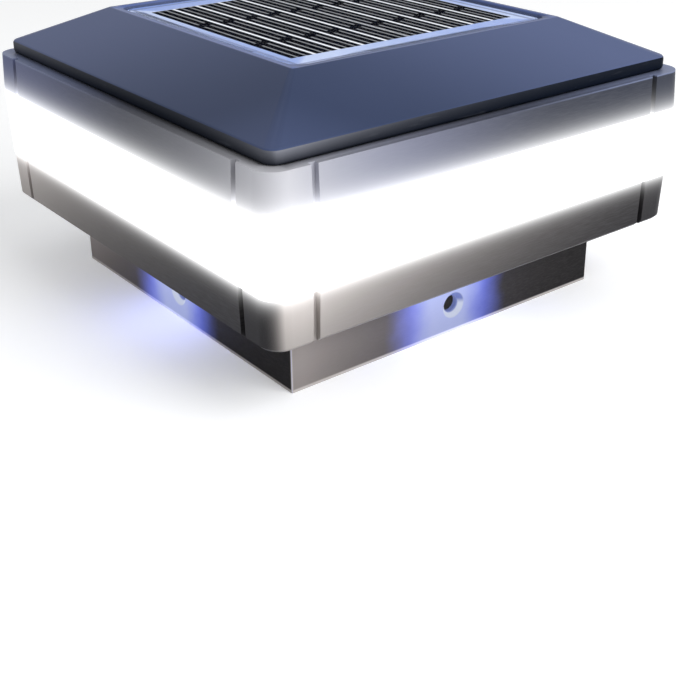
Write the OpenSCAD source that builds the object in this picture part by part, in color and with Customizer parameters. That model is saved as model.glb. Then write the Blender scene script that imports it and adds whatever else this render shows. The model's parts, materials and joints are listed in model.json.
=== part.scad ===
// Solar cap light for a square deck post
//
// The origin is the middle of the collar's lower rim. +Z is up, and -Y is the
// front. The collar goes down over the post, a body with a glowing band stands
// out past it, and a lid with a solar panel closes the body. Four blue lights
// shine down from under the overhang. All sizes are in millimetres.

/* [Post and collar] */
// Side of the square post that the cap goes over
post_side = 89; // [86:0.5:92]
// Play between the post and each wall of the collar
post_play = 1; // [0.5:0.1:2]
// Thickness of the collar's walls
collar_wall = 2.5; // [2:0.1:3.5]
// Height of the collar that shows below the body
collar_height = 19.2; // [16:0.1:26]
// Thickness of the flange that meets the end of the post
seat_thickness = 3; // [2.5:0.1:4]
// Width of the flange that meets the end of the post
seat_width = 6; // [5.6:0.1:7]
// Radius of the hole for a post screw
post_screw_r = 2.15; // [1.8:0.05:2.6]
// Radius of the countersink round a post screw's hole
post_sink_r = 3.3; // [3:0.1:3.7]
// Height of the post screws above the collar's rim
post_screw_z = 7; // [5:0.5:9]
// Radius of the screws that hold the collar to the tray
collar_screw_r = 1.25; // [1:0.05:1.5]
// Length of the screws that hold the collar to the tray
collar_screw_length = 9; // [7.5:0.5:9.5]

/* [Body] */
// How far the widest part of the body stands out past the collar
overhang = 14.5; // [14:0.1:17]
// How much each side draws in from the top of the glowing band to the foot
draft = 0.9; // [0.2:0.1:1.8]
// How much each side draws in from the top of the glowing band to the ledge
top_draft = 0.4; // [0.1:0.05:0.4]
// Height of the lower rail
lower_rail_height = 11.7; // [10.5:0.1:15]
// Height of the glowing band
glow_height = 17.7; // [15:0.1:24]
// Height of the upper rail
upper_rail_height = 9.3; // [8:0.1:12]
// Thickness of the body's walls at the foot
body_wall = 4.2; // [3.6:0.1:4.2]
// Thickness of the floor over the post
floor_thickness = 2.5; // [2.3:0.1:3.2]
// Radius of the body's upright corners
body_corner_r = 5; // [4:0.5:6]
// Rounding along the foot of the body
foot_edge = 0.8; // [0.3:0.1:1.2]
// Width of a corner block at the foot
corner_width = 9.9; // [9.5:0.1:12]
// Width of the upright grooves beside the corner blocks
groove_width = 1.7; // [1:0.1:2.4]
// Depth of the recess for a side trim at the foot
trim_depth = 1.2; // [0.8:0.05:1.4]
// Distance from the body's inner walls to the case screws
case_screw_inset = 3.8; // [3.5:0.1:4.1]
// Radius of the case screws
case_screw_r = 1.5; // [1.3:0.05:1.6]
// Radius of the bosses round the case screws
case_boss_r = 3.4; // [3:0.1:3.6]
// Length of the thread in the lid
case_thread = 4; // [3:0.1:4.2]

/* [Lid] */
// Width of the ledge that shows round the lid
ledge_width = 3.2; // [2:0.05:3.2]
// Height of the lid's upright rim
lid_rim_height = 3.2; // [3:0.1:6]
// Height of the lid's slope
lid_slope_height = 8.9; // [8.6:0.1:14]
// Side of the lid's flat top
lid_top_side = 80.5; // [80:0.5:86]
// Thickness of the lid's walls
lid_wall = 2.2; // [2:0.1:2.6]
// Radius of the corners of the lid's rim
lid_corner_r = 3; // [2:0.5:4.5]
// Radius of the corners of the lid's flat top
lid_top_corner_r = 1; // [0.5:0.1:2]
// Rounding along the lower edge of the lid
lid_edge = 0.8; // [0.3:0.1:1.1]
// Width of the seal under the lid
gasket_width = 1.1; // [0.8:0.1:1.3]
// Height of the seal under the lid
gasket_height = 1; // [0.6:0.1:1.4]

/* [Solar panel] */
// Side of the solar panel
panel_side = 74.8; // [74:0.1:76]
// Radius of the panel's corners
panel_corner_r = 3; // [1:0.5:4]
// Gap between the panel and the lip of the lid
panel_gap = 1; // [0.5:0.1:1.2]
// Thickness of the panel's backing
panel_thickness = 1.8; // [1.4:0.1:2.2]
// Thickness of the foam tape under the panel
tape_thickness = 0.6; // [0.4:0.1:1]
// Width of the foam tape under the panel
tape_width = 6; // [4:0.5:8]
// Thickness of the clear cover
cover_thickness = 0.5; // [0.4:0.1:0.8]
// How far the cover lies below the lip
cover_sink = 0.2; // [0.1:0.1:0.5]
// Number of cell strips
strip_count = 10; // [6:1:10]
// Distance from one cell strip to the next
strip_pitch = 6.75; // [6:0.05:6.9]
// Gap between two cell strips
strip_gap = 0.85; // [0.5:0.05:1.2]
// Length of the cell strips
strip_length = 60.6; // [50:0.1:66]
// Thickness of the cell strips
strip_thickness = 0.2; // [0.15:0.05:0.4]

/* [Glowing band] */
// Thickness of the diffuser's wall at its foot
diffuser_wall = 2.2; // [1.8:0.1:2.6]
// Thickness of the diffuser's two end flanges
diffuser_flange = 1.5; // [1:0.1:2]
// Width of the diffuser's tongues
tongue_width = 1.1; // [0.8:0.05:1.2]
// Height of the diffuser's tongues
tongue_height = 1; // [0.6:0.1:1.5]
// Thickness of the seals that the tongues press on
seal_thickness = 0.5; // [0.3:0.1:0.8]
// Play round the tongues and the LED carrier
fit_play = 0.2; // [0.1:0.02:0.3]
// Thickness of the LED carrier's wall
carrier_wall = 1.4; // [1:0.1:1.5]
// Leg of the carrier's corner chamfers
carrier_cut = 14; // [13.5:0.1:16]
// Thickness of the LED strip
led_strip_thickness = 0.4; // [0.2:0.05:0.5]
// Height of the LED strip
led_strip_height = 10; // [6:0.5:12]
// Number of white LEDs on each side
leds_per_side = 5; // [3:1:5]
// Distance from one white LED to the next
led_pitch = 16; // [10:0.5:19]
// Size of an LED along the strip
led_width = 3.5; // [2.8:0.1:5]
// Size of an LED across the strip
led_height = 2.8; // [1.5:0.1:3.5]
// Thickness of an LED
led_thickness = 0.7; // [0.5:0.05:0.9]

/* [Downlights] */
// Length of a downlight's window
window_length = 28; // [20:0.5:34]
// Width of a downlight's window
window_width = 5.2; // [4.5:0.1:5.3]
// Distance from the collar's face to the window
window_offset = 1.6; // [1.3:0.1:1.8]
// Thickness of the flange of a downlight's lens
lens_flange = 1.2; // [0.8:0.1:1.6]
// How far that flange reaches past the window
lens_margin = 0.6; // [0.4:0.05:0.7]
// Play between the lens and its window
lens_play = 0.1; // [0.05:0.01:0.2]
// Height of the pads under a downlight's board
downlight_pad_height = 3.5; // [3.2:0.1:5]
// Length of one of those pads
downlight_pad_length = 2; // [1.5:0.1:3]
// Thickness of a downlight's board
downlight_board_thickness = 1; // [0.8:0.1:1.6]
// Number of blue LEDs on each downlight's board
blue_leds = 3; // [1:1:3]
// Distance from one blue LED to the next
blue_led_pitch = 8; // [6:0.5:8.5]

/* [Battery] */
// Radius of the rechargeable cell
cell_r = 7; // [6:0.05:7.2]
// Length of the cell's can
cell_length = 49.2; // [44:0.1:54]
// Radius of the cell's positive button
button_r = 2.6; // [2:0.1:3]
// Height of the cell's positive button
button_height = 1; // [0.6:0.1:1.4]
// Thickness of the sleeve round the cell
sleeve_thickness = 0.15; // [0.1:0.05:0.3]
// Room beside and above the cell
bay_play = 0.4; // [0.3:0.05:0.6]
// Thickness of the bay's walls
bay_wall = 1.5; // [1.2:0.1:2]
// Room for the contact at each end of the cell
contact_room = 2.3; // [1.8:0.1:2.8]
// Thickness of the contacts' sheet metal
contact_thickness = 0.4; // [0.3:0.05:0.6]
// Width of the contacts
contact_width = 8; // [6:0.5:10]
// Width of the contacts' solder tabs
tab_width = 4; // [3:0.5:5]
// How far the solder tabs stand out of the bay's roof
tab_height = 3.3; // [2:0.1:5]

/* [Battery door] */
// Thickness of the battery door
door_thickness = 1.7; // [1.5:0.1:1.8]
// Gap round the battery door
door_gap = 0.3; // [0.2:0.05:0.4]
// How far the door laps over the floor beside the bay's mouth
door_lap = 1.6; // [1.3:0.1:2]
// Length of the door's tab for its screw
door_tab = 8; // [7:0.5:9]
// Radius of the hinge barrel
barrel_r = 1.2; // [1:0.05:1.3]
// Length of the hinge barrel
barrel_length = 48; // [36:1:52]
// Radius of the door's stub pins
hinge_pin_r = 0.8; // [0.6:0.05:0.9]
// Length of the door's stub pins
hinge_pin_length = 2.5; // [1.5:0.1:3]
// Running clearance of the stub pins, on the radius
hinge_play = 0.06; // [0.03:0.01:0.1]
// Radius of the door screw
door_screw_r = 1.2; // [1:0.05:1.3]
// Radius of the door screw's head
door_screw_head_r = 2.4; // [2:0.1:2.8]
// Height of the door screw's head
door_screw_head = 1.4; // [1:0.1:1.8]
// Depth of the brass insert that the door screw enters
insert_depth = 5; // [4:0.5:6]
// Outer radius of that insert
insert_r = 2.6; // [2.3:0.1:2.8]
// Thickness of the foam pad under the cell
pad_thickness = 1.2; // [0.8:0.1:1.6]

/* [Circuit board] */
// Length of the main board
board_length = 48; // [44:1:54]
// Width of the main board
board_width = 24; // [22:0.5:25]
// Thickness of the main board
board_thickness = 1.6; // [1:0.1:2]
// Distance from the bay to the main board
board_gap = 4.9; // [4:0.1:6]
// Height of the main board over the floor
board_lift = 5.5; // [5.2:0.1:6.5]
// Radius of the board's screws
board_screw_r = 1.1; // [0.9:0.05:1.25]
// Radius of the posts under the board
post_r = 2.4; // [2.1:0.1:2.6]
// Distance from the board's edges to its screws
board_screw_inset = 3.5; // [3:0.1:4]
// Length of the terminal block
terminal_length = 13; // [12:0.5:15]
// Width of the terminal block
terminal_width = 6; // [5:0.5:7]
// Height of the terminal block
terminal_height = 5; // [4:0.5:8]
// Radius of the leads
lead_r = 0.8; // [0.5:0.05:0.9]

/* [Mode switch] */
// Length of the switch's body
switch_length = 13; // [12:0.5:15]
// Width of the switch's body
switch_width = 5.6; // [5.2:0.1:7]
// Height of the switch's body
switch_height = 4.2; // [3.9:0.1:4.5]
// Travel of the slider to each side of its middle place
switch_travel = 2; // [1:0.1:2.2]
// Length of the slider's knob
knob_length = 3.2; // [2:0.1:4]
// Width of the slider's knob
knob_width = 2.6; // [1.6:0.1:2.8]
// How far the knob stands out under the floor
knob_stand = 0.8; // [0.4:0.1:1.5]
// Play round the slider
switch_play = 0.15; // [0.1:0.01:0.25]

/* [Hidden] */
$fn = 64;
corner_fn = 32;  // facets of a corner inside a hull
cut = 0.5;       // how far a cutting shape reaches past what it cuts
skin = 0.01;     // thickness of the slices that a hull joins

// Heights
foot_z = collar_height;
seat_z = foot_z - seat_thickness;
floor_z = foot_z + floor_thickness;
glow_z0 = foot_z + lower_rail_height;
glow_z1 = glow_z0 + glow_height;
ledge_z = glow_z1 + upper_rail_height;
rim_z = ledge_z + lid_rim_height;
top_z = rim_z + lid_slope_height;

// Half widths
collar_in = post_side / 2 + post_play;
collar_out = collar_in + collar_wall;
seat_in = collar_in - seat_width;
wide_half = collar_out + overhang;
foot_half = wide_half - draft;
ledge_half = wide_half - top_draft;
inner_half = foot_half - body_wall;
lid_half = wide_half - ledge_width;
lid_top_half = lid_top_side / 2;
inner_corner_r = 2;
collar_corner_r = 0.4;
function body_half(z) =
    z < glow_z1 ? foot_half + draft * (z - foot_z) / (glow_z1 - foot_z)
                : wide_half - top_draft * (z - glow_z1) / upper_rail_height;

// Grooves and side trims
groove_out = foot_half - corner_width;
groove_in = groove_out - groove_width;
lower_trim_plane = foot_half - trim_depth;
upper_trim_plane = ledge_half - trim_depth;

// Screws
screw_play = 0.2;
thread_play = 0.03;
pan_head_ratio = 1.9;  // radius of a pan head over its screw's radius
board_screw_head = 1.4;
collar_screw_at = (seat_in + collar_in) / 2;
collar_screw_head_r = 2.3;
collar_boss_r = collar_screw_r + 1.75;
collar_boss_top = seat_z + collar_screw_length + 1.5;
case_screw_at = inner_half - case_screw_inset;
case_head_r = case_screw_r * pan_head_ratio;
case_head_height = 1.7;
case_head_z = foot_z + 2.1;
lid_boss_r = 4.2;

// Ledge of the upper frame
frame_ledge = 2;
frame_ledge_reach = 7.3;  // from the inner walls in to the opening's edge
frame_ledge_in = inner_half - frame_ledge_reach;
frame_ledge_r = 3;

// Lid and panel
panel_half = panel_side / 2;
pocket_half = panel_half + panel_gap;
tape_inset = 0.4;
pocket_z = top_z - cover_sink - cover_thickness - panel_thickness - tape_thickness;
panel_z = pocket_z + tape_thickness;
cover_z = panel_z + panel_thickness;
lid_slope = (lid_half - lid_top_half) / lid_slope_height;
lid_slope_shift = lid_wall * sqrt(1 + lid_slope * lid_slope);
lid_in = inner_half + 0.1;
lid_roof_z = pocket_z - lid_wall;
lid_shoulder_z = rim_z + (lid_half - lid_slope_shift - lid_in) / lid_slope;
function lid_in_half(z) = lid_half - lid_slope_shift - lid_slope * (z - rim_z);
gasket_mid = (lid_in + lid_half - lid_edge) / 2;

// Diffuser and LEDs
diffuser_in = body_half(glow_z0) - diffuser_wall;
tongue_in = inner_half + fit_play;
tongue_out = tongue_in + tongue_width;
rebate_half = tongue_out + fit_play / 2;
rebate_depth = tongue_height + seal_thickness;
carrier_half = inner_half - fit_play - 0.1;
carrier_top = ledge_z - frame_ledge - fit_play;
led_z = (glow_z0 + glow_z1) / 2;
led_hole_r = lead_r * 2;

// Downlights
window_mid = collar_out + window_offset + window_width / 2;
downlight_pad_z = floor_z + downlight_pad_height;
downlight_pad_at = window_length / 2 + lens_margin + 0.6;
downlight_board_width = window_width + 0.4;
downlight_board_half = downlight_pad_at + downlight_pad_length;
downlight_top = downlight_pad_z + downlight_board_thickness;

// Battery door and its hinge
door_z = foot_z + door_thickness;
door_ceiling = door_z + 0.1;
bay_half_y = cell_r + sleeve_thickness + bay_play;
bay_half_x = (cell_length + button_height) / 2 + contact_room;
hinge_y = bay_half_y + barrel_r + 1.5;
hinge_z = foot_z + barrel_r;
notch_half = barrel_length / 2 + door_gap;
door_y0 = bay_half_y + door_lap;
door_y1 = hinge_y - barrel_r - 0.9;
hinge_gap = 2 * door_gap;  // room for the door's hinge edge as it turns past the lugs
door_x0 = bay_half_x + 3;
door_x1 = door_x0 + door_tab - 2;
bay_frame = 2;  // raised frame of the floor round the door's recess
bay_frame_z = floor_z + 1.6;
door_screw_x = door_x1 - 3.5;
door_screw_y = -4;
door_screw_top = door_ceiling + 2.3;
insert_z = door_ceiling + insert_depth;
insert_in_r = door_screw_r + 0.5;
insert_end = 1;  // closed end of the insert
pad_length = 30;
pad_width = 8;

// Rechargeable cell and bay
cell_z = door_z + pad_thickness + cell_r + sleeve_thickness + 0.05;
bay_roof_z = cell_z + cell_r + sleeve_thickness + bay_play;
can_x0 = -(cell_length + button_height) / 2;
can_x1 = can_x0 + cell_length;
button_x = can_x1 + button_height;
tab_top = bay_roof_z + bay_wall + tab_height;
contact_reach = 5;  // from the cell's axis down to the foot of a contact's plate
leaf_half = 4.6;    // half the height of the bowed leaf on the other contact
leaf_width = contact_width - 2;

// Main board and switch
board_y = -(bay_half_y + bay_wall + board_gap + board_width / 2);
board_z = floor_z + board_lift;
board_top = board_z + board_thickness;
board_screw_x = board_length / 2 - board_screw_inset;
board_screw_y = board_width / 2 - board_screw_inset;
board_edge_y = board_y - board_width / 2;
board_pilot_depth = 4;
chip_size = [6, 5, 1.6];
chip_at = [-10, 4];
inductor_at = [9, 5];
inductor_r = 2.4;
inductor_flange_r = 3.4;
inductor_flange = 0.8;
inductor_height = 4.4;
capacitor_at = [-13, -6];
capacitor_r = 2.5;
capacitor_height = 6.5;
terminal_x = 0.5;
terminal_inset = 6;
terminal_y = board_edge_y + terminal_inset;
terminal_top = board_top + terminal_height;
terminal_step = terminal_length / 4;
switch_z = board_z - switch_height;
switch_lip = 1.1;
slider_height = 1.3;
slider_length = knob_length + 2.8;
slider_width = knob_width + 0.6;
slider_z = switch_z + switch_lip + 0.1;
knob_slot_half = knob_length / 2 + switch_travel + 2 * switch_play;
knob_slot_width = knob_width + 2 * switch_play;
knob_z = foot_z - knob_stand;

// Leads: the way into the lid, and the middle points of each route
lead_hole_r = 3.2;
lead_hole_y = -24;
lead_straight = 3;
lead_slack = 3;
lead_bend = 6;
lead_lift = 2;
link_run = 12;
link_turn = 1.5;  // how far a link passes outside the collar screw in its corner
lead_sides = 8;
lead_steps = 5;
function terminal_at(i) = [terminal_x + (i + 0.5) * terminal_step, terminal_y, terminal_top];
function lead_up(p) = [p, p + [0, 0, lead_straight]];
function lead_down(p) = [p + [0, 0, lead_straight], p];
function lead_under(p) = [p, p - [0, 0, lead_straight]];
function solar_route(i) = concat(
    lead_under([terminal_at(i).x, lead_hole_y, panel_z]),
    [[terminal_at(i).x, lead_hole_y - lead_slack, (panel_z + terminal_top) / 2]],
    lead_down(terminal_at(i)));
function battery_route(side, i) = concat(
    lead_up([side * (bay_half_x - contact_thickness / 2), 0, tab_top]),
    [[side * (bay_half_x - 1), -bay_half_y - lead_slack, tab_top + lead_lift],
     [side * bay_half_x - (side > 0 ? lead_bend + lead_slack : -2 * lead_bend),
      terminal_y + lead_bend + lead_slack, terminal_top + lead_bend]],
    lead_down(terminal_at(i)));
led_lead_x = -4;
pad_inset = 3.5;
pad_pitch = 4;
led_pad = [led_lead_x, board_edge_y + pad_inset, board_top];
led_route = concat(
    lead_up(led_pad),
    [[led_lead_x, (board_edge_y - carrier_half) / 2, led_z - lead_lift],
     [led_lead_x, -carrier_half + lead_straight + carrier_wall, led_z],
     [led_lead_x, -carrier_half, led_z]]);
downlight_feed = concat(
    lead_up(led_pad - [pad_pitch, 0, 0]),
    lead_down([led_lead_x - pad_pitch, -window_mid, downlight_top]));
link_x = downlight_pad_at - lead_lift;
link_corner = collar_screw_at + link_turn;
link_z = downlight_top + lead_straight + lead_lift;
downlight_link = concat(
    lead_up([link_x, -window_mid, downlight_top]),
    [[link_x + link_run, lead_lift - window_mid, link_z],
     [link_corner, -link_corner, link_z],
     [window_mid - lead_lift, -link_x - link_run, link_z]],
    lead_down([window_mid, -link_x, downlight_top]));

// ---------- shared shapes ----------

// A square with round corners, half its width given
module rounded_square(half, r) {
    square([2 * half, 2 * (half - r)], center = true);
    square([2 * (half - r), 2 * half], center = true);
    for (sx = [-1, 1], sy = [-1, 1])
        translate([sx * (half - r), sy * (half - r)])
            circle(r = r);
}

module rounded_block(half, r, z0, z1) {
    translate([0, 0, z0])
        linear_extrude(z1 - z0)
            rounded_square(half, r);
}

// A square ring between two half widths
module square_ring(half_out, half_in, r, z0, z1) {
    difference() {
        rounded_block(half_out, r, z0, z1);
        rounded_block(half_in, max(r - (half_out - half_in), 0.3), z0 - cut, z1 + cut);
    }
}

// A box given by its two corners
module box(low, high) {
    translate(low)
        cube(high - low);
}

// Four copies, one in each corner
module corners(at) {
    for (sx = [-1, 1], sy = [-1, 1])
        translate([sx * at, sy * at, 0])
            children();
}

// A thin slice of a square with round corners, for a hull
module slice(half, r, z) {
    for (sx = [-1, 1], sy = [-1, 1])
        translate([sx * (half - r), sy * (half - r), z])
            cylinder(r = r, h = skin, $fn = corner_fn);
}

// The body's outside between two heights, drawn in towards its foot
module body_outside(z0, z1) {
    foot = z0 == foot_z;
    hull() {
        if (foot)
            slice(foot_half - foot_edge, body_corner_r - foot_edge, z0);
        slice(body_half(z0 + (foot ? foot_edge : 0)), body_corner_r, z0 + (foot ? foot_edge : 0));
        slice(body_half(z1), body_corner_r, z1 - skin);
    }
}

// What a side trim fills: the wall's outer skin between the two grooves
module trim_zone(plane, half_length, z0, z1) {
    box([-half_length, -wide_half - cut, z0], [half_length, -plane, z1]);
}

module trim_recesses(plane, z0, z1) {
    for (side = [0:3])
        rotate([0, 0, 90 * side])
            trim_zone(plane, groove_out, z0 - cut, z1 + cut);
}

// A square with cut corners, as the LED carrier has it
function cut_square(half, leg) = [
    [half, half - leg], [half - leg, half], [leg - half, half], [-half, half - leg],
    [-half, leg - half], [leg - half, -half], [half - leg, -half], [half, leg - half]
];

// A ring between that square and one that lies a wall's thickness inside it
module cut_square_ring(half, leg, wall, z0, z1) {
    inner_leg = leg - wall * (2 - sqrt(2));
    translate([0, 0, z0])
        linear_extrude(z1 - z0)
            difference() {
                polygon(cut_square(half, leg));
                polygon(cut_square(half - wall, inner_leg));
            }
}

// A pan-head screw that points up, its head's upper face at z = 0
module pan_screw(r, length, head_r, head_height) {
    translate([0, 0, -head_height])
        cylinder(r = head_r, h = head_height);
    translate([0, 0, -cut])
        cylinder(r = r, h = length + cut);
}

// ---------- how a lead is swept ----------

// A smooth curve through the points, which leaves both ends square to them
function curve_point(a, b, c, d, t) =
    0.5 * (2 * b + (c - a) * t + (2 * a - 5 * b + 4 * c - d) * t * t
           + (3 * b - a - 3 * c + d) * t * t * t);
function smooth(pts) = [
    for (i = [0:len(pts) - 2], s = [0:lead_steps - 1])
        curve_point(
            i == 0 ? 2 * pts[0] - pts[1] : pts[i - 1], pts[i], pts[i + 1],
            i == len(pts) - 2 ? 2 * pts[i + 1] - pts[i] : pts[i + 2], s / lead_steps),
    pts[len(pts) - 1]
];
function unit(v) = v / norm(v);
function tangents(p, pts) = [
    for (i = [0:len(p) - 1])
        unit(i == 0 ? pts[1] - pts[0]
             : i == len(p) - 1 ? pts[len(pts) - 1] - pts[len(pts) - 2]
             : p[i + 1] - p[i - 1])
];
function sideways(t, last, i = 0) =
    i == len(t) ? [] :
    let (n = unit(last - t[i] * (last * t[i])))
    concat([n], sideways(t, n, i + 1));

// A tube round a curve through the points, closed at both ends
module lead(pts, r = lead_r) {
    path = smooth(pts);
    last = len(path) - 1;
    t = tangents(path, pts);
    n = sideways(t, abs(t[0].x) < 0.9 ? [1, 0, 0] : [0, 1, 0]);
    points = [
        for (i = [0:last], k = [0:lead_sides - 1])
            let (a = 360 * k / lead_sides)
            path[i] + r * (cos(a) * n[i] + sin(a) * cross(t[i], n[i]))
    ];
    walls = [
        for (i = [0:last - 1], k = [0:lead_sides - 1])
            let (j = (k + 1) % lead_sides, a = i * lead_sides)
            [a + k, a + lead_sides + k, a + lead_sides + j, a + j]
    ];
    start = [for (k = [0:lead_sides - 1]) k];
    end = [for (k = [lead_sides - 1:-1:0]) last * lead_sides + k];
    polyhedron(points = points, faces = concat([start], walls, [end]));
}

// ---------- collar ----------

module collar() color("#6d6b6c") difference() {
    rounded_block(collar_out, collar_corner_r, 0, foot_z);
    rounded_block(collar_in, collar_corner_r, -cut, seat_z);
    rounded_block(seat_in, inner_corner_r, -cut, foot_z + cut);
    for (side = [0:3])
        rotate([0, 0, 90 * side])
            translate([0, -collar_out, post_screw_z])
                rotate([-90, 0, 0]) {
                    translate([0, 0, -cut])
                        cylinder(r = post_screw_r, h = collar_wall + 2 * cut);
                    cylinder(r1 = post_sink_r, r2 = post_screw_r, h = post_sink_r - post_screw_r);
                }
    corners(collar_screw_at) {
        translate([0, 0, seat_z - cut])
            cylinder(r = collar_screw_r + screw_play / 2, h = seat_thickness + 2 * cut);
        translate([0, 0, seat_z])
            cylinder(r1 = collar_screw_head_r + screw_play, r2 = collar_screw_r,
                     h = collar_screw_head_r + screw_play - collar_screw_r);
    }
}

// Countersunk screws, up through the collar's flange into the tray
module collar_screws() color("#b8bcc0") corners(collar_screw_at) {
    translate([0, 0, seat_z])
        cylinder(r1 = collar_screw_head_r, r2 = collar_screw_r,
                 h = collar_screw_head_r - collar_screw_r);
    translate([0, 0, seat_z])
        cylinder(r = collar_screw_r, h = collar_screw_length);
}

// ---------- base tray: floor, lower rail, battery bay and supports ----------

module tray_shell() difference() {
    body_outside(foot_z, glow_z0);
    rounded_block(inner_half, inner_corner_r, floor_z, glow_z0 + cut);
    rounded_block(rebate_half, inner_corner_r + 1, glow_z0 - rebate_depth, glow_z0 + cut);
    trim_recesses(lower_trim_plane, foot_z, glow_z0);
}

// Everything that stands on the floor
module tray_supports() {
    corners(case_screw_at)
        translate([0, 0, floor_z - cut])
            cylinder(r = case_boss_r, h = glow_z0 - rebate_depth - floor_z);
    corners(collar_screw_at)
        translate([0, 0, floor_z - cut])
            cylinder(r = collar_boss_r, h = collar_boss_top - floor_z + cut);
    for (sx = [-1, 1], sy = [-1, 1])
        translate([sx * board_screw_x, board_y + sy * board_screw_y, floor_z - cut])
            cylinder(r = post_r, h = board_lift + cut);
    for (side = [0:3], sx = [-1, 1])
        rotate([0, 0, 90 * side])
            translate([sx * (downlight_pad_at + downlight_pad_length / 2), -window_mid,
                       floor_z - cut + (downlight_pad_height + cut) / 2])
                cube([downlight_pad_length, downlight_board_width,
                      downlight_pad_height + cut], center = true);
    box([-door_x0 - bay_frame, -door_y0 - bay_frame, floor_z - cut],
        [door_x1 + bay_frame, hinge_y + barrel_r + bay_frame, bay_frame_z]);
    box([-bay_half_x - bay_wall, -bay_half_y - bay_wall, floor_z - cut],
        [bay_half_x + bay_wall, bay_half_y + bay_wall, bay_roof_z + bay_wall]);
    translate([door_screw_x, door_screw_y, floor_z - cut])
        cylinder(r = insert_r + 1, h = insert_z - floor_z + cut + 1);
}

module tray_holes() {
    corners(case_screw_at) {
        translate([0, 0, foot_z - cut])
            cylinder(r = case_head_r + screw_play, h = case_head_z - foot_z + cut);
        translate([0, 0, foot_z - cut])
            cylinder(r = case_screw_r + screw_play, h = lower_rail_height);
    }
    corners(collar_screw_at)
        translate([0, 0, foot_z - cut])
            cylinder(r = collar_screw_r + thread_play, h = collar_boss_top - foot_z + cut - 1);
    for (sx = [-1, 1], sy = [-1, 1])
        translate([sx * board_screw_x, board_y + sy * board_screw_y, board_z - board_pilot_depth])
            cylinder(r = board_screw_r + thread_play, h = board_pilot_depth + cut);
    for (side = [0:3])
        rotate([0, 0, 90 * side])
            translate([0, -window_mid, floor_z - floor_thickness / 2])
                cube([window_length, window_width, floor_thickness + 2 * cut], center = true);
    translate([0, board_y, floor_z - floor_thickness / 2])
        cube([2 * knob_slot_half, knob_slot_width, floor_thickness + 2 * cut], center = true);
}

// The battery bay, its mouth, and the room for the door and its hinge
module bay_holes() {
    box([-bay_half_x, -bay_half_y, foot_z - cut], [bay_half_x, bay_half_y, bay_roof_z]);
    box([-door_x0 - door_gap, -door_y0 - door_gap, foot_z - cut],
        [door_x1 + door_gap, door_y1 + hinge_gap, door_ceiling]);
    box([-notch_half, door_y1, foot_z - cut],
        [notch_half, hinge_y + barrel_r + door_gap, hinge_z + barrel_r + door_gap]);
    translate([-notch_half - hinge_pin_length, hinge_y, hinge_z])
        rotate([0, 90, 0])
            cylinder(r = hinge_pin_r + hinge_play, h = 2 * (notch_half + hinge_pin_length));
    translate([door_screw_x, door_screw_y, foot_z])
        cylinder(r = insert_r + thread_play, h = insert_z - foot_z);
    for (sx = [-1, 1])
        translate([sx * (bay_half_x - contact_thickness / 2), 0, bay_roof_z + bay_wall / 2])
            cube([contact_thickness + 0.3, tab_width + 0.4, bay_wall + 2 * cut], center = true);
}

module base_tray() color("#8a8a8c") difference() {
    union() {
        tray_shell();
        tray_supports();
    }
    tray_holes();
    bay_holes();
}

module lower_trim(side) color("#a6a5a6") rotate([0, 0, 90 * side]) intersection() {
    body_outside(foot_z, glow_z0);
    trim_zone(lower_trim_plane, groove_in, foot_z - cut, glow_z0 + cut);
}

// ---------- glowing band ----------

module diffuser_band() color("#fbfcff") difference() {
    union() {
        body_outside(glow_z0, glow_z1);
        rounded_block(tongue_out, inner_corner_r + 1, glow_z0 - tongue_height, glow_z1 + tongue_height);
    }
    rounded_block(tongue_in, inner_corner_r, glow_z0 - tongue_height - cut,
                  glow_z1 + tongue_height + cut);
    rounded_block(diffuser_in, inner_corner_r + 1, glow_z0 + diffuser_flange,
                  glow_z1 - diffuser_flange);
}

module lower_seal() color("#3a3c3e")
    square_ring(tongue_out, tongue_in, inner_corner_r + 1, glow_z0 - rebate_depth,
                glow_z0 - tongue_height);

module upper_seal() color("#3a3c3e")
    square_ring(tongue_out, tongue_in, inner_corner_r + 1, glow_z1 + tongue_height,
                glow_z1 + rebate_depth);

// ---------- upper frame ----------

module upper_frame() color("#8a8a8c") difference() {
    union() {
        difference() {
            body_outside(glow_z1, ledge_z);
            rounded_block(inner_half, inner_corner_r, glow_z1 - cut, ledge_z - frame_ledge);
            rounded_block(rebate_half, inner_corner_r + 1, glow_z1 - cut, glow_z1 + rebate_depth);
            rounded_block(frame_ledge_in, frame_ledge_r, glow_z1 - cut, ledge_z + cut);
            trim_recesses(upper_trim_plane, glow_z1, ledge_z);
        }
        corners(case_screw_at)
            translate([0, 0, glow_z1 + rebate_depth])
                cylinder(r = case_boss_r, h = ledge_z - frame_ledge - glow_z1 - rebate_depth + cut);
    }
    corners(case_screw_at)
        translate([0, 0, glow_z1])
            cylinder(r = case_screw_r + screw_play, h = upper_rail_height + cut);
    square_ring(gasket_mid + gasket_width / 2, gasket_mid - gasket_width / 2, lid_corner_r,
                ledge_z - gasket_height, ledge_z + cut);
}

module upper_trim(side) color("#a6a5a6") rotate([0, 0, 90 * side]) intersection() {
    body_outside(glow_z1, ledge_z);
    trim_zone(upper_trim_plane, groove_in, glow_z1 - cut, ledge_z + cut);
}

// ---------- lid ----------

module lid_outside() hull() {
    slice(lid_half - lid_edge, lid_corner_r - lid_edge, ledge_z);
    slice(lid_half - lid_edge * 0.3, lid_corner_r - lid_edge * 0.3, ledge_z + lid_edge * 0.3);
    slice(lid_half, lid_corner_r, ledge_z + lid_edge);
    slice(lid_half, lid_corner_r, rim_z - skin);
    slice(lid_top_half, lid_top_corner_r, top_z - skin);
}

module lid_inside() hull() {
    slice(lid_in, 1, ledge_z - cut);
    slice(lid_in, 1, lid_shoulder_z);
    slice(lid_in_half(lid_roof_z), 1, lid_roof_z - skin);
}

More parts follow.
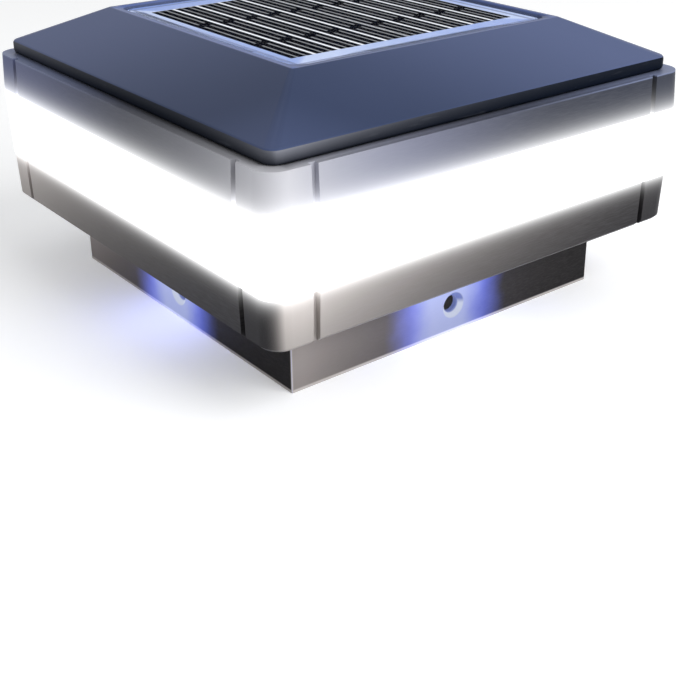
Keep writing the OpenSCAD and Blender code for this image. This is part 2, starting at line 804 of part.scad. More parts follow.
module lid() color("#434e6b") difference() {
    lid_outside();
    difference() {
        lid_inside();
        corners(case_screw_at)
            translate([0, 0, ledge_z])
                cylinder(r = lid_boss_r, h = lid_rim_height + lid_slope_height);
    }
    rounded_block(pocket_half, panel_corner_r + panel_gap, pocket_z, top_z + cut);
    corners(case_screw_at)
        translate([0, 0, ledge_z - cut])
            cylinder(r = case_screw_r + thread_play, h = case_thread + cut + 0.2);
    translate([terminal_at(1.5).x, lead_hole_y, lid_roof_z - cut])
        cylinder(r = lead_hole_r, h = lid_wall + 2 * cut);
}

module lid_gasket() color("#2c2d2f")
    square_ring(gasket_mid + gasket_width / 2, gasket_mid - gasket_width / 2, lid_corner_r,
                ledge_z - gasket_height, ledge_z);

// Long screws, up through the tray and the upper frame into the lid
module case_screws() color("#b8bcc0") corners(case_screw_at)
    translate([0, 0, case_head_z])
        pan_screw(case_screw_r, ledge_z + case_thread - case_head_z, case_head_r, case_head_height);

// ---------- solar panel ----------

module panel_tape() color("#26272a")
    square_ring(panel_half - tape_inset, panel_half - tape_inset - tape_width, panel_corner_r,
                pocket_z, panel_z);

// The cell strips, or the shallow pockets in which they lie flush
module strips(height) {
    for (i = [0:strip_count - 1])
        translate([(i - (strip_count - 1) / 2) * strip_pitch, 0, cover_z - strip_thickness + height / 2])
            cube([strip_pitch - strip_gap, strip_length, height], center = true);
}

module solar_panel() color("#cfdcf2") difference() {
    rounded_block(panel_half, panel_corner_r, panel_z, cover_z);
    strips(strip_thickness + cut);
}

module solar_cells() color("#0b0d14") strips(strip_thickness);

module panel_cover() color("#bcd2f5", 0.35)
    rounded_block(panel_half, panel_corner_r, cover_z, cover_z + cover_thickness);

// ---------- white LEDs ----------

module led_carrier() color("#f2f2ee") difference() {
    cut_square_ring(carrier_half, carrier_cut, carrier_wall, floor_z, carrier_top);
    translate([led_lead_x, -carrier_half - cut, led_z])
        rotate([-90, 0, 0])
            cylinder(r = led_hole_r, h = carrier_wall + 2 * cut);
}

module led_strip() color("#e9e6d8")
    cut_square_ring(carrier_half + led_strip_thickness,
                    carrier_cut + led_strip_thickness * (2 - sqrt(2)), led_strip_thickness,
                    led_z - led_strip_height / 2, led_z + led_strip_height / 2);

module white_leds() color("#ffe9a8")
    for (side = [0:3], i = [0:leds_per_side - 1])
        rotate([0, 0, 90 * side])
            translate([(i - (leds_per_side - 1) / 2) * led_pitch,
                       -carrier_half - led_strip_thickness - led_thickness / 2, led_z])
                cube([led_width, led_thickness, led_height], center = true);

// ---------- downlights ----------

module downlight_lens(side) color("#9fb4ff", 0.6) rotate([0, 0, 90 * side]) {
    translate([0, -window_mid, (foot_z + floor_z) / 2])
        cube([window_length - 2 * lens_play, window_width - 2 * lens_play, floor_thickness],
             center = true);
    translate([0, -window_mid, floor_z + lens_flange / 2])
        cube([window_length + 2 * lens_margin, window_width + 2 * lens_margin, lens_flange],
             center = true);
}

module downlight_board(side) color("#1f5136") rotate([0, 0, 90 * side])
    translate([0, -window_mid, downlight_pad_z + downlight_board_thickness / 2])
        cube([2 * downlight_board_half, downlight_board_width, downlight_board_thickness],
             center = true);

module blue_led_row(side) color("#5a7bff") rotate([0, 0, 90 * side])
    for (i = [0:blue_leds - 1])
        translate([(i - (blue_leds - 1) / 2) * blue_led_pitch, -window_mid,
                   downlight_pad_z - led_thickness / 2])
            cube([led_width, led_height, led_thickness], center = true);

// ---------- main board ----------

module main_board() color("#1f5136") difference() {
    translate([0, board_y, board_z + board_thickness / 2])
        cube([board_length, board_width, board_thickness], center = true);
    for (sx = [-1, 1], sy = [-1, 1])
        translate([sx * board_screw_x, board_y + sy * board_screw_y, board_z - cut])
            cylinder(r = board_screw_r + screw_play, h = board_thickness + 2 * cut);
}

module board_screws() color("#b8bcc0")
    for (sx = [-1, 1], sy = [-1, 1])
        translate([sx * board_screw_x, board_y + sy * board_screw_y, board_top])
            mirror([0, 0, 1])
                pan_screw(board_screw_r, board_thickness + board_pilot_depth - 0.5,
                          pan_head_ratio * board_screw_r, board_screw_head);

module control_chip() color("#1b1c1e")
    translate([chip_at.x, board_y + chip_at.y, board_top + chip_size.z / 2])
        cube(chip_size, center = true);

module inductor() color("#4a4340")
    translate([inductor_at.x, board_y + inductor_at.y, board_top]) {
        cylinder(r = inductor_r, h = inductor_height);
        for (z = [0, inductor_height - inductor_flange])
            translate([0, 0, z])
                cylinder(r = inductor_flange_r, h = inductor_flange);
    }

module capacitor() color("#2a3b66")
    translate([capacitor_at.x, board_y + capacitor_at.y, board_top])
        cylinder(r = capacitor_r, h = capacitor_height);

module wire_terminal() color("#2f7a4a")
    box([terminal_x, terminal_y - terminal_width / 2, board_top],
        [terminal_x + terminal_length, terminal_y + terminal_width / 2, terminal_top]);

// ---------- mode switch ----------

module switch_body() color("#b9bcc0") difference() {
    box([-switch_length / 2, board_y - switch_width / 2, switch_z],
        [switch_length / 2, board_y + switch_width / 2, board_z]);
    box([-slider_length / 2 - switch_travel - switch_play,
         board_y - slider_width / 2 - switch_play, switch_z + switch_lip],
        [slider_length / 2 + switch_travel + switch_play,
         board_y + slider_width / 2 + switch_play, slider_z + slider_height + switch_play]);
    box([-knob_slot_half, board_y - knob_slot_width / 2, switch_z - cut],
        [knob_slot_half, board_y + knob_slot_width / 2, switch_z + switch_lip + cut]);
}

module switch_slider() color("#1d1e20") {
    box([-slider_length / 2, board_y - slider_width / 2, slider_z],
        [slider_length / 2, board_y + slider_width / 2, slider_z + slider_height]);
    box([-knob_length / 2, board_y - knob_width / 2, knob_z],
        [knob_length / 2, board_y + knob_width / 2, slider_z + slider_height]);
}

// ---------- rechargeable cell ----------

module battery_cell() color("#c4c7ca")
    translate([can_x0, 0, cell_z])
        rotate([0, 90, 0]) {
            cylinder(r = cell_r, h = cell_length);
            cylinder(r = button_r, h = cell_length + button_height);
        }

module battery_sleeve() color("#2e6b46")
    translate([can_x0, 0, cell_z])
        rotate([0, 90, 0])
            difference() {
                translate([0, 0, 0.3])
                    cylinder(r = cell_r + sleeve_thickness, h = cell_length - 0.6);
                translate([0, 0, -cut])
                    cylinder(r = cell_r, h = cell_length + 2 * cut);
            }

// A contact's upright plate and the solder tab over the bay's roof, on the right
module contact_plate() {
    box([bay_half_x - contact_thickness, -contact_width / 2, cell_z - contact_reach],
        [bay_half_x, contact_width / 2, bay_roof_z - 0.1]);
    box([bay_half_x - contact_thickness, -tab_width / 2, bay_roof_z - 1],
        [bay_half_x, tab_width / 2, tab_top]);
}

module contact_plus() color("#c9b27a") {
    contact_plate();
    translate([button_x, 0, cell_z])
        rotate([0, 90, 0])
            cylinder(r = button_r, h = bay_half_x - button_x - contact_thickness / 2);
}

// The other contact's plate carries a bowed leaf that presses on the can
module contact_minus() color("#c9b27a") {
    bow = can_x0 + bay_half_x - contact_thickness;
    leaf_r = (leaf_half * leaf_half + bow * bow) / (2 * bow);
    mirror([1, 0, 0])
        contact_plate();
    intersection() {
        translate([can_x0 - leaf_r, 0, cell_z])
            rotate([90, 0, 0])
                difference() {
                    cylinder(r = leaf_r, h = leaf_width, center = true);
                    cylinder(r = leaf_r - contact_thickness, h = contact_width, center = true);
                }
        box([-bay_half_x + contact_thickness / 2, -contact_width, cell_z - 2 * leaf_half],
            [can_x0 + 1, contact_width, cell_z + 2 * leaf_half]);
    }
}

// ---------- battery door ----------

module battery_door() color("#56575a") difference() {
    union() {
        box([-door_x0, -door_y0, foot_z], [door_x1, door_y1, door_z]);
        box([-barrel_length / 2, door_y1 - 1, foot_z], [barrel_length / 2, hinge_y, door_z]);
        translate([-barrel_length / 2, hinge_y, hinge_z])
            rotate([0, 90, 0])
                cylinder(r = barrel_r, h = barrel_length);
        translate([-barrel_length / 2 - hinge_pin_length, hinge_y, hinge_z])
            rotate([0, 90, 0])
                cylinder(r = hinge_pin_r, h = barrel_length + 2 * hinge_pin_length);
    }
    translate([door_screw_x, door_screw_y, foot_z - cut])
        cylinder(r = door_screw_r + screw_play / 2, h = door_thickness + 2 * cut);
}

module door_screw() color("#b8bcc0")
    translate([door_screw_x, door_screw_y, foot_z])
        pan_screw(door_screw_r, door_screw_top - foot_z, door_screw_head_r, door_screw_head);

module screw_insert() color("#b08d4a")
    translate([door_screw_x, door_screw_y, door_ceiling])
        difference() {
            cylinder(r = insert_r, h = insert_depth);
            translate([0, 0, -cut])
                cylinder(r = insert_in_r, h = insert_depth + cut - insert_end);
        }

module door_pad() color("#3c3f44")
    translate([0, 0, door_z + pad_thickness / 2])
        cube([pad_length, pad_width, pad_thickness], center = true);

// ---------- the leads ----------

module solar_lead_red() color("#b3261e") lead(solar_route(2));

module solar_lead_black() color("#1b1b1c") lead(solar_route(1));

module battery_lead_red() color("#b3261e") lead(battery_route(1, 3));

module battery_lead_black() color("#1b1b1c") lead(battery_route(-1, 0));

// From the board's front edge through the carrier's wall to the LED strip
module led_lead() color("#e8e8e4") lead(led_route);

// The lead to the front board, and the links from there to the other three
module downlight_leads() color("#2f55c4") {
    lead(downlight_feed);
    for (side = [0:2])
        rotate([0, 0, 90 * side])
            lead(downlight_link);
}

// ---------- output ----------

collar();
collar_screws();
base_tray();
lower_trim(0);  // lower_trim_front
lower_trim(1);  // lower_trim_right
lower_trim(2);  // lower_trim_back
lower_trim(3);  // lower_trim_left
diffuser_band();
lower_seal();
upper_seal();
upper_frame();
upper_trim(0);  // upper_trim_front
upper_trim(1);  // upper_trim_right
upper_trim(2);  // upper_trim_back
upper_trim(3);  // upper_trim_left
lid();
lid_gasket();
case_screws();
panel_tape();
solar_panel();
solar_cells();
panel_cover();
led_carrier();
led_strip();
white_leds();
downlight_lens(0);  // downlight_lens_front
downlight_lens(1);  // downlight_lens_right
downlight_lens(2);  // downlight_lens_back
downlight_lens(3);  // downlight_lens_left
downlight_board(0);  // downlight_board_front
downlight_board(1);  // downlight_board_right
downlight_board(2);  // downlight_board_back
downlight_board(3);  // downlight_board_left
blue_led_row(0);  // blue_leds_front
blue_led_row(1);  // blue_leds_right
blue_led_row(2);  // blue_leds_back
blue_led_row(3);  // blue_leds_left
main_board();
board_screws();
control_chip();
inductor();
capacitor();
wire_terminal();
switch_body();
switch_slider();
battery_cell();
battery_sleeve();
contact_plus();
contact_minus();
battery_door();
door_screw();
screw_insert();
door_pad();
solar_lead_red();
solar_lead_black();
battery_lead_red();
battery_lead_black();
led_lead();
downlight_leads();
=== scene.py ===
"""Solar cap light for a square deck post, dressed for its renders.

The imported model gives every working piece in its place. This file rounds the edges of the
shells, makes the glowing ring, the cell strips, the lenses, the screws and the grips in
full, gives each piece its finish, and sets the camera, the floor and the lamps. Lengths
are in metres, in the model's own frame: +Z is up and -Y is the front.
"""

import json
import math

import bmesh
import bpy
from mathutils import Matrix, Vector


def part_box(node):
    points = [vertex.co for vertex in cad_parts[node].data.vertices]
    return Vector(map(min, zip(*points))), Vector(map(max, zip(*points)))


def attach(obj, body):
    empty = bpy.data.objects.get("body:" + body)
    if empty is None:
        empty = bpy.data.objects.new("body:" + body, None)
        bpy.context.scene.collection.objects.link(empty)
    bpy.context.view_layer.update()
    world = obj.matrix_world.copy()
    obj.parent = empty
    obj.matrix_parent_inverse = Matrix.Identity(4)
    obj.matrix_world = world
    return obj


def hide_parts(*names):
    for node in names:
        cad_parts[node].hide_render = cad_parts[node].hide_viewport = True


bl_info = {
    "name": "Deck post cap light",
    "version": (1, 0, 0),
    "blender": (4, 5, 0),
    "location": "View3D > Sidebar > Cap Light",
    "description": "Dresses the packed model of a solar cap light for a deck post",
    "category": "Object",
}

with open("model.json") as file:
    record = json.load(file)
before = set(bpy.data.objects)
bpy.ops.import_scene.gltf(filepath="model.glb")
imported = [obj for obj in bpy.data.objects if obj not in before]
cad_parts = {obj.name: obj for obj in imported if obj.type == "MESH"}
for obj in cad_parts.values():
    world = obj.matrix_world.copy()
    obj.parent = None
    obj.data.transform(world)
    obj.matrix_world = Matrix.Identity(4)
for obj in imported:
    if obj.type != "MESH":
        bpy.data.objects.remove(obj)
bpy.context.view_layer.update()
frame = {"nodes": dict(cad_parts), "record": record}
MM = 0.001
QUARTER = math.pi / 2
BLACK = (0.0, 0.0, 0.0)
SIDES = ("front", "right", "back", "left")
SLOTS = {part["node"]: part["material_slot"] for part in frame["record"]["subparts"]}

# Heights and half widths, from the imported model
FOOT_Z, GLOW_FOOT = (corner.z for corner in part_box("lower_trim_front"))
GLOW_TOP, LEDGE_Z = (corner.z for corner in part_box("upper_trim_front"))
GLOW_MIDDLE = (GLOW_FOOT + GLOW_TOP) / 2
TOP_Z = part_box("lid")[1].z
WIDE_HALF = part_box("diffuser_band")[1].x
COLLAR_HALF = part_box("collar")[1].x
CELLS_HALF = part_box("solar_cells")[1]
HOLE_Z = next(
    mount["pos_m"][2] for mount in frame["record"]["mounts"] if "post_screw" in mount["name"])

# Where the finishes, and the light and shade painted on them, turn from one tone to another
LIP_INSIDE = 39.7 * MM
BORDER_LINE = 35.5 * MM
SINK_RADIUS = 3.3 * MM
BORE_RADIUS = 2.25 * MM
LAMP_PITCH = 8 * MM


# ---------- settings ----------


def linear(code):
    """The linear values of a colour written as a hex code."""
    parts = [int(code[i : i + 2], 16) / 255 for i in (1, 3, 5)]
    return tuple(p / 12.92 if p <= 0.04045 else ((p + 0.055) / 1.055) ** 2.4 for p in parts)


def length(name, description, millimetres):
    """A length that a user may change."""
    return bpy.props.FloatProperty(
        name=name, description=description, default=millimetres * MM,
        precision=5, subtype="DISTANCE", unit="LENGTH",
    )


def angle(name, description, degrees):
    """An angle that a user may change."""
    return bpy.props.FloatProperty(
        name=name, description=description, default=math.radians(degrees),
        subtype="ANGLE", unit="ROTATION",
    )


def colour(name, description, code):
    """A colour that a user may change."""
    return bpy.props.FloatVectorProperty(
        name=name, description=description, default=linear(code),
        size=3, min=0.0, max=1.0, subtype="COLOR",
    )


def share(name, description, default, high=1.0):
    """A plain number that a user may change."""
    return bpy.props.FloatProperty(
        name=name, description=description, default=default, min=0.0, max=high, subtype="FACTOR",
    )


class CapLightSizes(bpy.types.PropertyGroup):
    """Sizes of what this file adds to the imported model."""

    rim_height: length("Rim height", "Height of the lid's dark upright rim", 3.2)
    rim_rounding: length("Rim rounding", "Rounding between the rim and the slope", 0.6)
    shell_rounding: length("Shell rounding", "Rounding of the shells' outer edges", 0.35)
    trim_rounding: length("Trim rounding", "Rounding of the side trims' edges", 0.22)
    cover_rounding: length("Cover rounding", "Rounding of the panel's clear cover", 0.15)
    door_rounding: length("Door rounding", "Rounding of the battery door's edges", 0.25)
    knob_rounding: length("Knob rounding", "Rounding of the switch knob's edges", 0.2)
    # The paler line is a painted highlight on the upper rail's ledge and along the collar's foot
    edge_shine: length("Edge shine", "Width of the paler line along the shells' edges", 0.45)
    ring_corner: length("Ring corner", "Radius of the glowing ring's upright corners", 5.0)
    ring_draw: length("Ring draw", "How far the ring's foot lies inside its top", 0.542)
    ring_wall: length("Ring wall", "Thickness of the ring's wall", 3.0)
    ring_flange: length("Ring flange", "Thickness of the ring's end flanges", 1.5)
    ring_rounding: length("Ring rounding", "Rounding of the ring's edges", 0.3)
    strip_count: bpy.props.IntProperty(
        name="Cell strips", description="Number of cell strips", default=10, min=1,
    )
    strip_pitch: length("Strip pitch", "Distance from one cell strip to the next", 6.75)
    strip_width: length("Strip width", "Width of a cell strip", 5.9)
    finger_width: length("Finger width", "Width of a silver line on a strip", 0.44)
    finger_height: length("Finger height", "Thickness of a silver line", 0.05)
    finger_spacing: length("Finger spacing", "Distance between a strip's two lines", 2.3)
    near_notch: length("Near notch", "Where the lines are broken, near the front", -14.7)
    far_notch: length("Far notch", "Where the lines are broken, near the back", 9.6)
    notch_length: length("Notch length", "Length of a break in the lines", 2.8)
    notch_stagger: length("Notch stagger", "Shift between the breaks of a strip's lines", 1.1)
    flute_depth: length("Flute depth", "Depth of the flutes under a downlight's lens", 0.45)
    grip_height: length("Grip height", "Height of the ribs on the battery door", 0.4)


class CapLightColours(bpy.types.PropertyGroup):
    """Colours of the shells and lights, and of the light and shade painted on the shells."""

    slate: colour("Lid", "Slopes of the lid where they are darkest", "#303B57")
    slate_pale: colour("Lid, pale", "Slopes of the lid where they catch the light", "#4D587A")
    lip: colour("Lip", "Flat lip round the solar panel", "#58689A")
    rim: colour("Rim", "Upright rim of the lid", "#0A111D")
    rim_pale: colour("Rim, pale", "Rim where it catches the light", "#8C8E98")
    upper_dark: colour("Upper rail", "Upper rail where it is darkest", "#2E323F")
    upper_pale: colour("Upper rail, pale", "Upper rail where it catches the light", "#C2C2C8")
    # Painted light: the upper rail's paler tone towards the left of each side, seen from outside
    upper_far: colour("Upper rail, left", "Upper rail to the left, seen from outside", "#5C6386")
    # Painted highlight along the upper rail's ledge round the lid
    ledge_highlight: colour("Ledge", "Ledge of the upper rail, round the lid", "#737C9A")
    lower_dark: colour("Lower rail", "Lower rail where it is darkest", "#0B0C14")
    lower_pale: colour("Lower rail, pale", "Lower rail where it catches the light", "#C8C1BD")
    collar_dark: colour("Collar", "Collar where it is darkest", "#0A0A0E")
    collar_pale: colour("Collar, pale", "Collar where it catches the light", "#9B9492")
    glow: colour("Glow", "Light of the glowing ring", "#FFFFFF")
    blue: colour("Blue light", "Light of the downlights", "#6A7CF5")
    pool: colour("Pool of light", "Middle of the downlights' light on the collar", "#B9C6FF")
    border: colour("Panel border", "Silvery backing of the solar panel", "#7496E2")
    border_pale: colour("Panel border, pale", "Backing where it catches the light", "#CDDDFF")
    cell: colour("Cells", "Dark silicon of the cell strips", "#05060A")
    finger: colour("Fingers", "Silver lines on the cell strips", "#7C8087")


class CapLightStage(bpy.types.PropertyGroup):
    """Camera, floor and lamps."""

    azimuth: angle("Azimuth", "Which way round the light the camera looks", -39.01)
    elevation: angle("Elevation", "How steeply the camera looks down", 23.79)
    distance: length("Distance", "From the camera to the light's foot, along the view", 318.51)
    aside: length("Aside", "How far the camera stands to the right of that line", 9.95)
    above: length("Above", "How far the camera stands above that line", 2.36)
    lens: bpy.props.FloatProperty(
        name="Lens", description="Focal length of the camera", default=61.79,
        min=1.0, subtype="DISTANCE_CAMERA", unit="CAMERA",
    )
    slide: bpy.props.FloatVectorProperty(
        name="Slide", description="Shift of the lens, as shares of the picture's width",
        default=(-0.0442, -0.1178), size=2,
    )
    floor_colour: colour("Floor", "Colour of the floor", "#F4F5F6")
    floor_lift: share("Floor lift", "How much the camera sees the floor brighter than lit", 0.25)
    sky_level: share("Sky level", "Brightness of the sky as a lamp", 0.50, 2.0)
    key_power: share("Key lamp", "Power of the large lamp, in watts", 8.0, 100.0)
    fill_power: share("Fill lamp", "Power of the lamp on the left, in watts", 0.8, 100.0)


# ---------- node trees ----------


def maths(operation, turned=False):
    """A method of Wire that adds a Math node, with its values in turned order if so told."""
    def method(self, *others):
        values = (*others, self) if turned else (self, *others)
        return self.graph.node(
            "ShaderNodeMath", {"operation": operation}, dict(enumerate(values)))
    return method


class Wire:
    """One output of a node. Arithmetic on it adds Math nodes to the same tree."""

    __add__, __radd__ = maths("ADD"), maths("ADD", True)
    __sub__, __rsub__ = maths("SUBTRACT"), maths("SUBTRACT", True)
    __mul__, __rmul__ = maths("MULTIPLY"), maths("MULTIPLY", True)
    __truediv__, __rtruediv__ = maths("DIVIDE"), maths("DIVIDE", True)
    __pow__, __rpow__ = maths("POWER"), maths("POWER", True)
    __abs__ = maths("ABSOLUTE")
    larger = maths("MAXIMUM")
    smaller = maths("MINIMUM")
    sign = maths("SIGN")
    over = maths("GREATER_THAN")  # 1 over a limit, and 0 elsewhere

    def __init__(self, graph, socket):
        self.graph = graph
        self.socket = socket

    def halves(self, start, step):
        """1 up to the start, and half as much after each further step."""
        return (0.5 ** ((self - start) / step)).smaller(1.0)

    def rise(self, low, high):
        """0 at low and 1 at high, with a smooth step between them."""
        return self.graph.node(
            "ShaderNodeMapRange", {"interpolation_type": "SMOOTHSTEP"},
            {"Value": self, "From Min": low, "From Max": high},
        )


class Graph:
    """A node tree that is written as Python expressions."""

    def __init__(self, tree):
        self.tree = tree

    def node(self, kind, settings=None, values=None, out=0):
        """Adds a node, sets it up, feeds its sockets and returns one of its outputs."""
        made = self.tree.nodes.new(kind)
        for name, value in (settings or {}).items():
            setattr(made, name, value)
        for key, value in (values or {}).items():
            self.feed(self.find(made.inputs, key), value)
        return Wire(self, self.find(made.outputs, out)) if len(made.outputs) else None

    def find(self, sockets, key):
        """A socket by its number, by its name if it is in use, or by its identifier."""
        if isinstance(key, int):
            return sockets[key]
        named = [s for s in sockets if s.enabled and s.name == key]
        return (named or [s for s in sockets if s.identifier == key])[0]

    def feed(self, socket, value):
        """Links a socket to a wire, or to each of a list, or sets its value or hex code."""
        if isinstance(value, str):
            value = linear(value)
        wires = value if isinstance(value, list) else [value]
        if isinstance(wires[0], Wire):
            for wire in wires:
                self.tree.links.new(wire.socket, socket)
        elif socket.type == "RGBA" and len(value) == 3:
            socket.default_value = (*value, 1.0)
        else:
            socket.default_value = value

    def join_xyz(self, x=0.0, y=0.0, z=0.0):
        return self.node("ShaderNodeCombineXYZ", {}, {"X": x, "Y": y, "Z": z})


class Finish(Graph):
    """A material with one Principled shader."""

    def __init__(self, name, **constants):
        self.material = bpy.data.materials.new(name)
        self.material.use_nodes = True
        super().__init__(self.material.node_tree)
        self.tree.nodes.clear()
        self.shader = self.tree.nodes.new("ShaderNodeBsdfPrincipled")
        self.surface = self.tree.nodes.new("ShaderNodeOutputMaterial").inputs["Surface"]
        self.tree.links.new(self.shader.outputs[0], self.surface)
        self.point = self.node("ShaderNodeTexCoord", out="Object")
        axes = self.node("ShaderNodeSeparateXYZ", {}, {0: self.point}).socket.node.outputs
        self.x, self.y, self.z = (Wire(self, axis) for axis in axes)
        for name, value in constants.items():
            self.set(name.replace("_", " ").title().replace("Ior", "IOR"), value)

    def set(self, socket, value):
        self.feed(self.find(self.shader.inputs, socket), value)

    def noise(self, size, detail=2.0, stretch=None):
        """Noise with features of about that size, drawn out along the axes by stretch."""
        place = self.point
        if stretch:
            place = self.node(
                "ShaderNodeMapping", {}, {"Vector": place, "Scale": [1 / s for s in stretch]})
        return self.node(
            "ShaderNodeTexNoise", {}, {"Vector": place, "Scale": 1 / size, "Detail": detail})

    def mix(self, factor, first, second):
        """A colour between two, the second where the factor is 1."""
        return self.node(
            "ShaderNodeMix", {"data_type": "RGBA"},
            {"Factor_Float": factor, "A_Color": first, "B_Color": second}, "Result_Color",
        )

    def bump(self, height, depth):
        """A relief of that depth, in metres."""
        self.set("Normal", self.node("ShaderNodeBump", {}, {"Height": height, "Distance": depth}))

    def away(self):
        """How far a point lies from the upright axis, measured square to the nearest side."""
        return abs(self.x).larger(abs(self.y))

    def along(self):
        """How far a point lies from the middle of its side."""
        return abs(self.x).smaller(abs(self.y))

    def across(self, blend):
        """How far a point lies to the right of the middle of its side, seen from outside.

        Each corner is passed within that blend, so a tone that follows it turns there.
        """
        on_x = (abs(self.x) - abs(self.y)).rise(-blend, blend)
        return self.y * self.x.sign() * on_x - self.x * self.y.sign() * (1 - on_x)

    def cornerwise(self):
        """How far a point lies from the front left or the back right corner, along the sides."""
        return 2 * WIDE_HALF - abs(self.x + self.y)


class Maker(Graph):
    """A geometry tree with named inputs. It ends in Realize Instances, and in Set Material where
    its pieces aren't painted yet.
    """

    def __init__(self, name, inputs):
        super().__init__(bpy.data.node_groups.new(name, "GeometryNodeTree"))
        for kind, labels in {"Geometry": ["Geometry"], **inputs}.items():
            for label in labels:
                self.add_socket(label, "INPUT", kind)
        self.add_socket("Geometry", "OUTPUT", "Geometry")
        self.entry = self.tree.nodes.new("NodeGroupInput")

    def add_socket(self, label, way, kind):
        self.tree.interface.new_socket(label, in_out=way, socket_type=f"NodeSocket{kind}")

    def __getitem__(self, label):
        return Wire(self, self.find(self.entry.outputs, label))

    def box(self, size, place):
        """A box of that size whose middle is at that place."""
        return self.node("GeometryNodeTransform", {}, {
            "Geometry": self.node("GeometryNodeMeshCube", {}, {"Size": size}),
            "Translation": place,
        })

    def in_row(self, piece, count, pitch):
        """Copies of a piece in a row along X, with their middle on the axis."""
        line = self.node("GeometryNodeMeshLine", {"mode": "OFFSET"}, {
            "Count": count, "Start Location": self.join_xyz(x=(count - 1) * pitch * -0.5),
            "Offset": self.join_xyz(x=pitch),
        })
        return self.node(
            "GeometryNodeInstanceOnPoints", {}, {"Points": line, "Instance": piece})

    def painted(self, geometry, material):
        return self.node(
            "GeometryNodeSetMaterial", {}, {"Geometry": geometry, "Material": material})

    def end(self, geometry, material=None):
        """Makes plain mesh of the instances and paints it, if its pieces aren't painted yet."""
        whole = self.node("GeometryNodeRealizeInstances", {}, {"Geometry": geometry})
        if material is not None:
            whole = self.painted(whole, material)
        self.node("NodeGroupOutput", {}, {0: whole})
        return self.tree


# ---------- finishes ----------


def tinted(code, gain, lift=0.0):
    """A colour's linear values times a gain, and raised by a lift."""
    return [min(1.0, value * gain + lift) for value in linear(code)]


def moulded(name, code, roughness):
    """Moulded plastic: a fine grain, and a tone that drifts a little over the piece."""
    look = Finish(name)
    drift = look.noise(22 * MM)
    fine = look.noise(0.35 * MM)
    look.set("Base Color", look.mix(drift * 0.3, code, tinted(code, 1.35, 0.004)))
    look.set("Roughness", roughness + (fine - 0.5) * 0.10 + (drift - 0.5) * 0.05)
    look.bump(fine, 0.012 * MM)
    return look


def slate_moulding(colours):
    """Satin slate plastic of the lid, with a broad painted sheen. The lip round the panel is
    paler.
    """
    look = Finish("slate_moulding", specular_ior_level=0.08)
    drift = look.noise(30 * MM)
    fine = look.noise(0.30 * MM)
    lip = look.z.rise(TOP_Z - 0.35 * MM, TOP_Z - 0.10 * MM)
    lip = lip * look.away().rise(LIP_INSIDE + 0.2 * MM, LIP_INSIDE - 0.2 * MM)
    hip = (look.away() - look.along()).rise(0.9 * MM, 0.1 * MM) * look.noise(2.2 * MM, 3.0)
    # Painted sheen: darker near the front left and back right corners and paler towards the other
    # two, with a paler band close beside the first two
    sheen = look.cornerwise().rise(32 * MM, 122 * MM)
    sheen = sheen + look.cornerwise().rise(36 * MM, 6 * MM) * 0.5
    slope = look.mix(sheen + (drift - 0.5) * 0.15, colours.slate, colours.slate_pale)
    slope = look.mix(hip * 0.03, slope, "#8F9CC4")
    look.set("Base Color", look.mix(lip, slope, colours.lip))
    look.set("Roughness", 0.38 + (fine - 0.5) * 0.10 + (drift - 0.5) * 0.06)
    look.bump(fine, 0.010 * MM)
    return look


def rim_moulding(colours):
    """Near-black satin of the lid's upright rim, with a painted sheen on its upper part where it
    would catch the light.
    """
    look = Finish("rim_moulding", specular_ior_level=0.03)
    fine = look.noise(0.30 * MM)
    scuff = look.noise(1.6 * MM, 4.0, (6.0, 6.0, 1.0)).rise(0.60, 0.80)
    # Painted sheen on the rim's upper part: paler near the front left and back right corners and
    # towards the left of each side
    sheen = look.cornerwise().halves(7 * MM, 10 * MM) * 0.5
    sheen = sheen + look.across(2 * MM).halves(-52 * MM, 20 * MM) * 0.32
    sheen = sheen * look.z.rise(LEDGE_Z - 0.5 * MM, LEDGE_Z + 4 * MM)
    tone = look.mix(sheen, colours.rim, colours.rim_pale)
    look.set("Base Color", look.mix(scuff * 0.08, tone, colours.rim_pale))
    look.set("Roughness", 0.36 + (fine - 0.5) * 0.10 + scuff * 0.10)
    look.bump(fine, 0.008 * MM)
    return look


